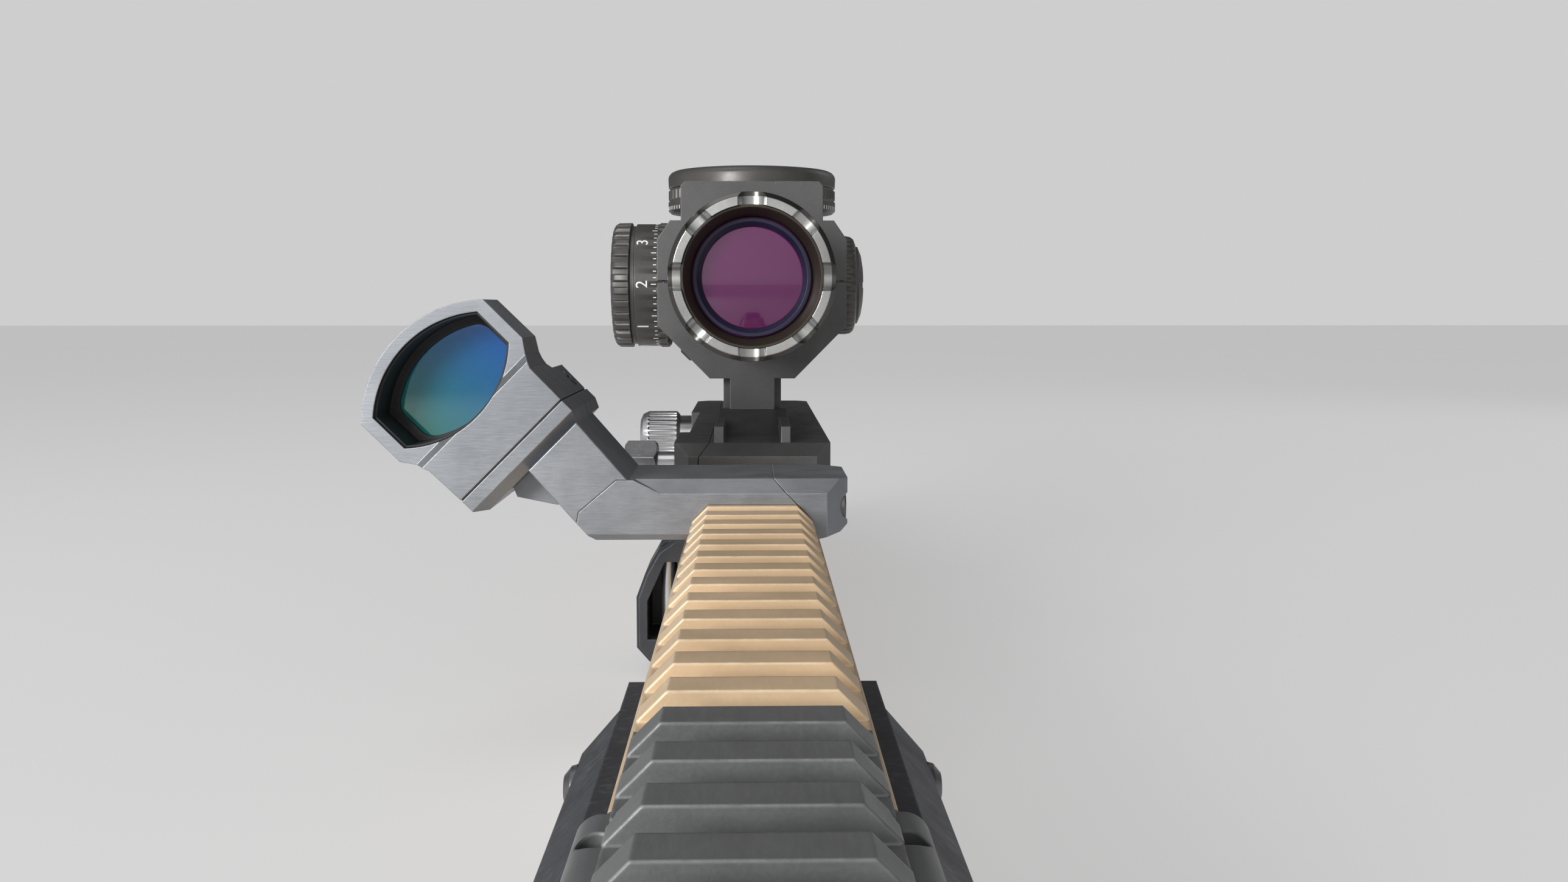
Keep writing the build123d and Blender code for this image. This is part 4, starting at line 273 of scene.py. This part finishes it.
def coated_glass(name, low, high, along, start, end, gloss, glow):
    """Lens or emitter whose colour turns from one to another along a direction in the row frame; on the
    lenses the turn is a painted reflection over the coating's tint.
    """
    n = Nodes(name)
    dot = n.node("VectorMath", operation="DOT_PRODUCT")
    n.link(n.place, dot.inputs[0])
    dot.inputs[1].default_value = along
    share = n.node("MapRange")
    share.inputs["From Min"].default_value = start
    share.inputs["From Max"].default_value = end
    n.link(dot.outputs["Value"], share.inputs["Value"])
    reflection_wobble = n.maths("MULTIPLY_ADD", n.noise(60.0, detail=4.0), 0.16, -0.08)
    total = n.maths("ADD", share.outputs["Result"], reflection_wobble)
    base = n.ramp(total, [(0.0, low), (1.0, high)])
    # Darker towards glancing angles, by the facing weight: painted shade.
    edge = n.node("LayerWeight")
    edge.inputs["Blend"].default_value = 0.35
    glancing_painted_shade = tuple(c * 0.35 for c in low)
    base = n.mix(n.ramp(edge.outputs["Facing"], [(0.1, 0.0), (0.9, 0.5)]), base, glancing_painted_shade)
    n.link(base, n.shader.inputs["Base Color"])
    dust = n.ramp(n.noise(900.0, detail=6.0), [(0.5, gloss), (0.8, gloss + 0.10)])
    n.link(dust, n.shader.inputs["Roughness"])
    n.shader.inputs["Metallic"].default_value = 0.15
    n.shader.inputs["Coat Weight"].default_value = 0.7
    n.shader.inputs["Coat Roughness"].default_value = 0.02
    # The glow is painted light on the lenses.
    n.link(base, n.shader.inputs["Emission Color"])
    n.shader.inputs["Emission Strength"].default_value = glow
    return n.material


def clear_glass(name, tint, alpha):
    n = Nodes(name)
    smear = n.ramp(n.noise(90.0, detail=5.0), [(0.3, tint), (0.7, tuple(c * 0.8 for c in tint))])
    n.link(smear, n.shader.inputs["Base Color"])
    n.link(n.ramp(n.noise(500.0, detail=4.0), [(0.4, 0.02), (0.8, 0.09)]), n.shader.inputs["Roughness"])
    n.shader.inputs["Coat Weight"].default_value = 0.5
    n.shader.inputs["Alpha"].default_value = alpha
    return n.material


MATERIALS = {
    "tan_rail": metal(
        "tan_rail", colour=(0.66, 0.49, 0.31), rough=0.42, metallic=0.25, marks_and_highlight_colour=(0.95, 0.84, 0.66),
        grain=(1, 0.12, 1), spread=0.1, bump=0.18, edge_wear_and_highlight=0.55, scratch=0.3, edge=0.45,
        shade=(0.5, 0.36, 0.22)),
    "grey_rail": metal(
        "grey_rail", colour=(0.155, 0.158, 0.158), rough=0.45, metallic=0.45,
        marks_and_highlight_colour=(0.42, 0.42, 0.42), grain=(1, 0.12, 1), spread=0.14, bump=0.2, edge_wear_and_highlight=0.45,
        scratch=0.25, edge=0.45),
    "panel_polymer": moulded(
        "panel_polymer", colour=(0.014, 0.016, 0.02), rough=0.5, texture=1100.0, bump=0.3,
        marks_and_highlight_colour=(0.075, 0.082, 0.095)),
    "dark_metal": metal(
        "dark_metal", colour=(0.045, 0.048, 0.055), rough=0.42, metallic=0.5,
        marks_and_highlight_colour=(0.25, 0.25, 0.26), spread=0.2, bump=0.2, edge_wear_and_highlight=0.6, scratch=0.25),
    "fastener_steel": metal(
        "fastener_steel", colour=(0.14, 0.14, 0.15), rough=0.34, metallic=0.85,
        marks_and_highlight_colour=(0.55, 0.55, 0.56), spread=0.2, bump=0.15, edge_wear_and_highlight=0.6, scratch=0.3, edge=0.2),
    "bright_steel": metal(
        "bright_steel", colour=(0.5, 0.5, 0.51), rough=0.24, metallic=0.95, marks_and_highlight_colour=(0.9, 0.9, 0.9),
        grain=(0.15, 1, 1), spread=0.12, bump=0.15, edge=0.3),
    "grey_anodised": metal(
        "grey_anodised", colour=(0.235, 0.245, 0.26), rough=0.4, metallic=0.72,
        marks_and_highlight_colour=(0.62, 0.63, 0.64), grain=(0.1, 1, 1), spread=0.2, bump=0.26, edge_wear_and_highlight=0.9, scratch=0.3,
        edge=0.22, shade=(0.17, 0.18, 0.195), fine=3200.0),
    "dark_anodised": metal(
        "dark_anodised", colour=(0.04, 0.043, 0.05), rough=0.38, metallic=0.55,
        marks_and_highlight_colour=(0.35, 0.36, 0.38), grain=(1, 0.2, 1), spread=0.2, bump=0.18, edge_wear_and_highlight=0.6, scratch=0.3,
        edge=0.25),
    "mount_anodised": metal(
        "mount_anodised", colour=(0.09, 0.09, 0.09), rough=0.42, metallic=0.55,
        marks_and_highlight_colour=(0.36, 0.34, 0.31), grain=(1, 0.2, 1), spread=0.16, bump=0.18, edge_wear_and_highlight=0.6, scratch=0.3,
        edge=0.3),
    "scope_black": metal(
        "scope_black", colour=(0.08, 0.078, 0.074), rough=0.4, metallic=0.5,
        marks_and_highlight_colour=(0.34, 0.33, 0.31), grain=(1, 0.2, 1), spread=0.2, bump=0.2, scratch=0.25, edge=0.3),
    "silver_ring": metal(
        "silver_ring", colour=(0.48, 0.48, 0.47), rough=0.24, metallic=0.95,
        marks_and_highlight_colour=(0.85, 0.85, 0.84), spread=0.16, bump=0.1, edge_wear_and_highlight=0.4, scratch=0.2, edge=0.15,
        shade=(0.16, 0.16, 0.16), outside=(16.1 * MM, (0.09, 0.088, 0.082))),
    "olive_cell": metal(
        "olive_cell", colour=(0.03, 0.025, 0.015), rough=0.46, metallic=0.35,
        marks_and_highlight_colour=(0.16, 0.14, 0.08), spread=0.2, bump=0.2, edge_wear_and_highlight=0.4, scratch=0.2, edge=0.15),
    # Reflex lens: teal to blue across its width is a painted reflection.
    "coated_lens": coated_glass(
        "coated_lens", low=(0.004, 0.13, 0.115), high=(0.004, 0.085, 0.31), along=tuple(ACROSS),
        start=LENS_ALONG - 10 * MM, end=LENS_ALONG + 11 * MM, gloss=0.05, glow=0.14),
    # Objective lens: purple turning lighter towards the top is a painted reflection.
    "purple_lens": coated_glass(
        "purple_lens", low=(0.075, 0.004, 0.056), high=(0.105, 0.007, 0.08), along=(0, 0, 1),
        start=AXIS_Z - 12 * MM, end=AXIS_Z + 12 * MM, gloss=0.1, glow=0.1),
    "clear_lens": clear_glass(
        "clear_lens", tint=(0.55, 0.62, 0.66), alpha=0.45),
    "seal_rubber": moulded(
        "seal_rubber", colour=(0.012, 0.012, 0.013), rough=0.62, texture=1600.0, bump=0.2),
    "board_green": moulded(
        "board_green", colour=(0.02, 0.12, 0.045), rough=0.4, texture=1400.0, bump=0.3),
    "emitter_red": coated_glass(
        "emitter_red", low=(0.35, 0.02, 0.015), high=(0.5, 0.03, 0.02), along=(0, 0, 1),
        start=0.0, end=0.1, gloss=0.1, glow=0.2),
    "cell_steel": metal(
        "cell_steel", colour=(0.6, 0.6, 0.6), rough=0.22, metallic=1.0, marks_and_highlight_colour=(0.9, 0.9, 0.9),
        spread=0.1, bump=0.1, scratch=0.3, edge=0.15),
    "button_rubber": moulded(
        "button_rubber", colour=(0.03, 0.03, 0.034), rough=0.66, texture=2200.0, bump=0.5),
    "inner_brass": metal(
        "inner_brass", colour=(0.55, 0.38, 0.14), rough=0.28, metallic=1.0,
        marks_and_highlight_colour=(0.85, 0.68, 0.35), spread=0.15, scratch=0.3, edge=0.15),
}
WHITE_FILL = moulded(
    "white_fill", colour=(0.72, 0.72, 0.70), rough=0.5, texture=2600.0, bump=0.15,
    marks_and_highlight_colour=(0.85, 0.85, 0.83), edge=0.05)
# Navy colour of the lens retainer: painted reflection.
NAVY_PAINTED_REFLECTION = metal(
    "navy_retainer_painted_reflection", colour=(0.012, 0.010, 0.035), rough=0.35, metallic=0.3,
    marks_and_highlight_colour=(0.07, 0.06, 0.14), spread=0.2, edge_wear_and_highlight=0.4, scratch=0.15, edge=0.15)

# ---- CAD nodes: materials and smooth shading ---------------------------------------------------
SHARP_ANGLE = 32
SLOTS = {entry["node"]: entry["material_slot"] for entry in RECORD["subparts"]}


def dress(obj, material):
    if not obj.material_slots:
        obj.data.materials.append(None)
    for own in obj.material_slots:
        own.link = "OBJECT"
        own.material = material


def smooth(obj):
    """Smooth faces that meet at a small angle, leaving sharper edges sharp."""
    mesh = obj.data
    mesh.shade_smooth()
    mesh.set_sharp_from_angle(angle=radians(SHARP_ANGLE))


for node, obj in frame["nodes"].items():
    dress(obj, MATERIALS[SLOTS[node]])


# ---- mesh helpers -----------------------------------------------------------------------------
GROOVE_SHARE = 0.45          # how much of a knurl's pitch is groove
GROOVE_STEEPNESS = 5.0
LINE_WIDTH = 0.28            # scale lines, in millimetres


def finish_piece(name, bm, body, material=None, slot=None, instead=()):
    """Makes a mesh ride a body, with its own material or a slot's, in place of CAD nodes if any."""
    bmesh.ops.remove_doubles(bm, verts=bm.verts, dist=1e-7)
    bmesh.ops.recalc_face_normals(bm, faces=bm.faces)
    mesh = bpy.data.meshes.new(name)
    bm.to_mesh(mesh)
    bm.free()
    obj = bpy.data.objects.new(name, mesh)
    scene.collection.objects.link(obj)
    mesh.materials.append(material if material else MATERIALS[slot])
    smooth(obj)
    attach(obj, body)
    if instead:
        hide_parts(*instead)


def frame_of(origin, axis):
    """Matrix that takes local Z to an axis through an origin."""
    axis = Vector(axis).normalized()
    side = Vector((0, 1, 0)) if abs(axis.y) < 0.9 else Vector((0, 0, 1))
    first = side.cross(axis).normalized()
    second = axis.cross(first)
    return Matrix.Translation(origin) @ Matrix((first, second, axis)).transposed().to_4x4()


def groove(turn, count):
    """0 on the lands and 1 in the floor of evenly spaced grooves round a knob."""
    wave = 0.5 - 0.5 * cos(turn * count)
    edge = (wave - (1 - GROOVE_SHARE)) * GROOVE_STEEPNESS + 0.5
    return max(0.0, min(1.0, edge))


def wheel(bm, profile, origin, axis, count=0, steps=96):
    """Adds a body of revolution. Each ring is (distance, radius, groove depth), in millimetres."""
    place = frame_of(origin, axis)
    rings = []
    for along, radius, depth in profile:
        ring = []
        for index in range(steps):
            turn = 2 * pi * index / steps
            cut = depth * groove(turn, count) if depth else 0.0
            r = (radius - cut) * MM
            ring.append(bm.verts.new(place @ Vector((r * cos(turn), r * sin(turn), along * MM))))
        rings.append(ring)
    for first, second in zip(rings, rings[1:] + rings[:1]):
        for index in range(steps):
            after = (index + 1) % steps
            bm.faces.new((first[index], first[after], second[after], second[index]))


def brick(bm, place, size, taper):
    """Adds a small block with its far face drawn in by a taper."""
    half = Vector(size) / 2
    corners = []
    for z, inset in ((-half.z, 0.0), (half.z, taper)):
        for x, y in ((-1, -1), (1, -1), (1, 1), (-1, 1)):
            spot = Vector((x * (half.x - inset), y * (half.y - inset), z))
            corners.append(bm.verts.new(place @ spot))
    for face in ((3, 2, 1, 0), (4, 5, 6, 7), (0, 1, 5, 4), (1, 2, 6, 5), (2, 3, 7, 6), (3, 0, 4, 7)):
        bm.faces.new([corners[i] for i in face])


def around(origin, axis, radius, turn, along):
    """Frame on a cylinder's surface: Z outward, X along the axis."""
    base = frame_of(origin, axis)
    outward = base.to_3x3() @ Vector((cos(turn), sin(turn), 0))
    along_axis = Vector(axis).normalized()
    side = outward.cross(along_axis)
    spot = Vector(origin) + along_axis * along + outward * radius
    return Matrix.Translation(spot) @ Matrix((along_axis, side, outward)).transposed().to_4x4()


def control(name, body, slot, node, profile, origin, axis, grooves=0, steps=96):
    """Turned piece that stands for a CAD node."""
    bm = bmesh.new()
    wheel(bm, profile, origin, axis, grooves, steps)
    finish_piece(name, bm, body, slot=slot, instead=(node,))


def ticks(name, body, origin, axis, radius, along, count, long_every, length):
    """Thin white scale lines that stand just proud of a dial, every few of them longer."""
    bm = bmesh.new()
    for index in range(count):
        size = length if index % long_every == 0 else length * 0.6
        turn = 2 * pi * index / count
        place = around(origin, axis, (radius - 0.02) * MM, turn, (along + size / 2) * MM)
        brick(bm, place, Vector((size, LINE_WIDTH, 0.1)) * MM, 0.02 * MM)
    finish_piece(name, bm, body, WHITE_FILL)


def numerals(name, body, words, origin, axis, radius, along, size, first_turn, step, spin):
    """Raised numerals that lie on a dial."""
    parts = []
    for index, word in enumerate(words):
        text = bpy.data.curves.new(name, "FONT")
        text.body = word
        text.size = size * MM
        text.extrude = 0.04 * MM
        text.resolution_u = 4
        text.align_x = "CENTER"
        text.align_y = "CENTER"
        carrier = bpy.data.objects.new(name, text)
        scene.collection.objects.link(carrier)
        bpy.context.view_layer.update()
        mesh = bpy.data.meshes.new_from_object(carrier)
        place = around(origin, axis, radius * MM, first_turn + step * index, along * MM)
        mesh.transform(place @ Matrix.Rotation(spin, 4, "Z"))
        parts.append(mesh)
        bpy.data.objects.remove(carrier)
    bm = bmesh.new()
    for mesh in parts:
        bm.from_mesh(mesh)
    finish_piece(name, bm, body, WHITE_FILL)


# ---- scope: knurled and marked controls ---------------------------------------------------------
# Each row of a profile is a distance along the axis, a radius and a groove depth.
def elevation_cap_top():
    base, height = span("elevation_cap", 2, AXIS_Z)
    top = base + height
    radius = radius_of("elevation_cap", 0)
    control("elevation_cap_top", "elevation_turret", "scope_black", "elevation_cap", [
        (base, 2.0, 0), (base, radius - 0.6, 0), (base + 0.3, radius - 0.15, 0),
        (top - 1.9, radius - 0.05, 0), (top - 1.2, radius - 0.25, 0), (top - 0.5, radius - 0.85, 0),
        (top - 0.1, radius - 1.7, 0), (top, radius - 2.6, 0), (top, radius - 6, 0),
        (top - 0.7, radius - 6.6, 0), (top - 0.7, 9.0, 0), (top - 1.3, 8.6, 0), (top - 1.3, 2.0, 0),
    ], TURRET, Z)


def elevation_dial_grip():
    base, height = span("elevation_dial", 2, AXIS_Z)
    top = base + height
    radius = radius_of("elevation_cap", 0)
    control("elevation_dial_grip", "elevation_turret", "scope_black", "elevation_dial", [
        (base, 5.0, 0), (base, radius - 0.8, 0), (base + 0.7, radius - 0.05, 0),
        (base + 3.0, radius - 0.05, 0), (base + 3.2, radius - 0.35, 0), (base + 3.5, radius - 0.35, 0),
        (base + 3.7, radius - 0.1, 0.65), (top - 0.6, radius - 0.1, 0.65),
        (top - 0.4, radius - 0.5, 0), (top, radius - 0.5, 0), (top, 5.0, 0),
    ], TURRET, Z, 60, 480)
    ticks("elevation_scale", "elevation_turret", TURRET, Z, radius - 0.05, base + 0.75, 100, 10, 1.7)


def windage_dial_grip():
    base, length = -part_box("windage_dial")[1].x / MM, span("windage_dial", 0)[1]
    end = base + length
    radius = radius_of("windage_dial", 2)
    control("windage_dial_grip", "windage_turret", "scope_black", "windage_dial", [
        (base, 5.0, 0), (base, radius - 0.7, 0), (base + 0.6, radius - 0.05, 0),
        (base + 1.1, radius - 0.05, 0.5), (base + 2.6, radius - 0.05, 0.5), (base + 3.0, radius - 0.35, 0),
        (base + 9.0, radius - 0.35, 0), (base + 9.3, radius - 0.9, 0), (base + 10.2, radius - 0.9, 0),
        (base + 10.5, radius - 0.05, 0.0), (base + 10.8, radius - 0.05, 0.9),
        (base + 14.0, radius - 0.1, 0.9), (end - 0.5, radius - 0.6, 0.6), (end, radius - 1.5, 0.3),
        (end, radius - 4.0, 0), (end - 0.5, radius - 4.4, 0), (end - 0.5, 5.0, 0),
    ], TURRET, -X, 30, 480)
    ticks("windage_scale", "windage_turret", TURRET, -X, radius - 0.35, base + 3.1, 60, 5, 1.4)


def illumination_knob_grip():
    base, length = span("illumination_knob", 0)
    end = base + length
    radius = radius_of("illumination_knob", 2)
    bore = radius - 2.95
    control("illumination_knob_grip", "illumination", "scope_black", "illumination_knob", [
        (base, 3.0, 0), (base, radius - 0.8, 0), (base + 0.6, radius - 0.1, 0),
        (base + 1.0, radius - 0.05, 0.55), (end - 2.6, radius - 0.05, 0.55),
        (end - 1.4, radius - 0.3, 0.2), (end - 0.6, radius - 0.9, 0), (end - 0.1, radius - 2.2, 0),
        (end, radius - 2.7, 0), (end, bore, 0), (base + 2.6, bore, 0), (base + 2.6, 3.0, 0),
    ], TURRET, X, 36, 432)


def zoom_ring_grip():
    base, length = span("zoom_ring", 1, SCOPE_FRONT)
    end = base + length
    radius = radius_of("zoom_ring", 0)
    bore = 15.6
    control("zoom_ring_grip", "zoom", "scope_black", "zoom_ring", [
        (base, bore, 0), (base, radius - 1.5, 0), (base + 1.2, radius - 0.3, 0),
        (base + 1.8, radius - 0.05, 0.8), (end - 5.6, radius - 0.05, 0.8), (end - 5.0, radius - 0.5, 0),
        (end - 1.2, radius - 0.5, 0), (end, radius - 1.5, 0), (end, bore, 0),
    ], SCOPE, Y, 48, 480)


def focus_ring_grip():
    base, length = span("focus_ring", 1, SCOPE_FRONT)
    end = base + length
    radius = radius_of("focus_ring", 0)
    seat = end - 1.15
    control("focus_ring_grip", "focus", "scope_black", "focus_ring", [
        (base, 17.6, 0), (base, radius - 0.6, 0), (base + 0.6, radius - 0.05, 0.5),
        (base + 8.0, radius - 0.05, 0.5), (base + 8.6, radius - 0.5, 0), (base + 9.2, radius - 0.5, 0),
        (base + 9.6, radius - 0.05, 0), (end - 2.2, radius - 0.05, 0), (end - 1.0, radius - 0.7, 0),
        (end, radius - 2.0, 0), (end, 14.8, 0), (seat, 14.7, 0), (seat, 15.5, 0),
        (base + 13.0, 15.5, 0), (base + 13.0, 17.6, 0),
    ], SCOPE, Y, 60, 480)


def rear_knob_grip():
    low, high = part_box("rear_clamp_knob")
    start = Vector((0, (low.y + high.y) / 2, (low.z + high.z) / 2))
    neck, end = -high.x / MM, -low.x / MM
    radius = radius_of("rear_clamp_knob", 2)
    head = neck + 3.7
    control("rear_knob_grip", "rear_knob", "bright_steel", "rear_clamp_knob", [
        (neck, 2.0, 0), (neck, 5.1, 0), (head, 5.1, 0), (head, radius - 1.0, 0),
        (head + 0.8, radius - 0.1, 0), (head + 1.1, radius - 0.05, 0.5), (end - 2.6, radius - 0.05, 0.5),
        (end - 2.2, radius - 0.1, 0), (end - 0.7, radius - 0.8, 0), (end, radius - 2.2, 0),
        (end, 2.6, 0), (end - 2.4, 2.3, 0), (end - 2.4, 2.0, 0),
    ], start, -X, 28, 336)


def dial_numerals():
    """Plain numbers round the windage, elevation and zoom scales."""
    radius = radius_of("windage_dial", 2) - 0.33
    base = -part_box("windage_dial")[1].x / MM
    words = ["3", "2", "1", "0", "1", "2", "3", "4"]
    numerals("windage_numerals", "windage_turret", words, TURRET, -X, radius,
             base + 6.8, 4.4, radians(-48), radians(-42), radians(-90))
    radius = radius_of("elevation_cap", 0) - 0.08
    base = span("elevation_dial", 2, AXIS_Z)[0]
    words = [str(number) for number in range(10)]
    numerals("elevation_numerals", "elevation_turret", words, TURRET, Z, radius,
             base + 2.55, 1.9, 0, radians(36), radians(90))
    radius = radius_of("zoom_ring", 0) - 0.5
    base, length = span("zoom_ring", 1, SCOPE_FRONT)
    words = ["1", "2", "3", "4", "5", "6"]
    numerals("zoom_numerals", "zoom", words, SCOPE, Y, radius,
             base + length - 3.1, 2.9, radians(-90), radians(34), radians(180))


def objective_retainer():
    """Dark ring that holds the front lens in its cell; its navy colour is a painted reflection."""
    front = span("objective_lens", 1, SCOPE_FRONT)[0]
    radius = radius_of("objective_lens", 0)
    bm = bmesh.new()
    wheel(bm, [
        (front - 0.9, radius - 0.3, 0), (front - 0.9, radius - 1.0, 0), (front - 0.2, radius - 1.9, 0),
        (front + 0.35, radius - 1.9, 0), (front + 0.35, radius - 0.3, 0),
    ], SCOPE, Y, 24, 192)
    finish_piece("objective_retainer", bm, "rail", NAVY_PAINTED_REFLECTION)


elevation_cap_top()
elevation_dial_grip()
windage_dial_grip()
illumination_knob_grip()
zoom_ring_grip()
focus_ring_grip()
rear_knob_grip()
dial_numerals()
objective_retainer()
for obj in frame["nodes"].values():
    smooth(obj)

# ---- camera, light and floor --------------------------------------------------------------------
PICTURE_WIDTH = 2576
FOCAL_PIXELS = 2353
SENSOR_WIDTH = 36
EYE_SETBACK = 279.6          # millimetres ahead of the origin
EYE_RISE = 34.5              # millimetres above the rail
PITCH_DOWN = 5.33            # degrees
YAW = 1.27                   # degrees to the right
BACKGROUND = 0.617           # linear grey of the backdrop
SUBJECT = (0, 0, 0.07)       # what the key lamp points at, in metres
FLOOR_HALF = 6
FLOOR_GAP = 0.0002           # the floor lies this far below the object, in metres
FLOOR_GLOW = 0.40            # brings the floor's grey to the backdrop's


def add_camera():
    data = bpy.data.cameras.new("camera")
    data.sensor_width = SENSOR_WIDTH
    data.lens = SENSOR_WIDTH * FOCAL_PIXELS / PICTURE_WIDTH
    data.clip_start = 0.01
    camera = bpy.data.objects.new("camera", data)
    camera.location = (0, -EYE_SETBACK * MM, RAIL_TOP + EYE_RISE * MM)
    camera.rotation_euler = (radians(90 - PITCH_DOWN), 0, radians(-YAW))
    scene.collection.objects.link(camera)
    scene.camera = camera


def add_lamp(name, at, target, size, power):
    data = bpy.data.lights.new(name, "AREA")
    data.energy = power
    data.size = size
    obj = bpy.data.objects.new(name, data)
    obj.location = at
    obj.rotation_euler = (Vector(target) - Vector(at)).to_track_quat("-Z", "Y").to_euler()
    scene.collection.objects.link(obj)


def add_world():
    """Plain backdrop, with a surround that is bright at the front left and dark elsewhere."""
    world = bpy.data.worlds.new("world")
    world.use_nodes = True
    tree = world.node_tree
    backdrop = tree.nodes["Background"]
    backdrop.inputs["Color"].default_value = (BACKGROUND, BACKGROUND, BACKGROUND, 1)
    surround = tree.nodes.new("ShaderNodeBackground")
    direction = tree.nodes.new("ShaderNodeTexCoord")
    facing = tree.nodes.new("ShaderNodeVectorMath")
    facing.operation = "DOT_PRODUCT"
    facing.inputs[1].default_value = (-0.52, -0.85, -0.08)
    share = tree.nodes.new("ShaderNodeMath")
    share.operation = "MULTIPLY_ADD"
    share.inputs[1].default_value = 0.5
    share.inputs[2].default_value = 0.5
    brightness = tree.nodes.new("ShaderNodeValToRGB")
    dark, bright = brightness.color_ramp.elements
    dark.position = 0.45
    dark.color = (0.13, 0.13, 0.135, 1)
    bright.position = 1.0
    bright.color = (1.10, 1.10, 1.10, 1)
    ray = tree.nodes.new("ShaderNodeLightPath")
    either = tree.nodes.new("ShaderNodeMixShader")
    tree.links.new(direction.outputs["Generated"], facing.inputs[0])
    tree.links.new(facing.outputs["Value"], share.inputs[0])
    tree.links.new(share.outputs[0], brightness.inputs["Fac"])
    tree.links.new(brightness.outputs["Color"], surround.inputs["Color"])
    tree.links.new(ray.outputs["Is Camera Ray"], either.inputs[0])
    tree.links.new(surround.outputs[0], either.inputs[1])
    tree.links.new(backdrop.outputs[0], either.inputs[2])
    tree.links.new(either.outputs[0], tree.nodes["World Output"].inputs["Surface"])
    scene.world = world


def add_floor():
    bm = bmesh.new()
    bmesh.ops.create_grid(bm, x_segments=2, y_segments=2, size=FLOOR_HALF)
    mesh = bpy.data.meshes.new("floor")
    bm.to_mesh(mesh)
    bm.free()
    floor = bpy.data.objects.new("floor", mesh)
    floor.location = (0, 0, CAD_BOX[0][2] - FLOOR_GAP)
    scene.collection.objects.link(floor)
    ground = Nodes("floor")
    pale = ground.ramp(ground.noise(3.0), [(0.3, 0.34), (0.7, 0.35)])
    ground.link(pale, ground.shader.inputs["Base Color"])
    ground.shader.inputs["Roughness"].default_value = 0.95
    ground.shader.inputs["Specular IOR Level"].default_value = 0.1
    ground.shader.inputs["Emission Color"].default_value = (1, 1, 1, 1)
    ground.shader.inputs["Emission Strength"].default_value = FLOOR_GLOW
    mesh.materials.append(ground.material)


add_camera()
add_lamp("key", (-0.55, -0.85, 0.30), SUBJECT, 0.35, 9.0)
add_lamp("top", (-0.25, 0.05, 0.95), (0, 0.05, 0.07), 0.5, 1.3)
add_lamp("rim", (0.7, 0.6, 0.5), (0, 0.1, 0.07), 0.5, 0.7)
add_world()
scene.view_settings.view_transform = "Standard"
add_floor()
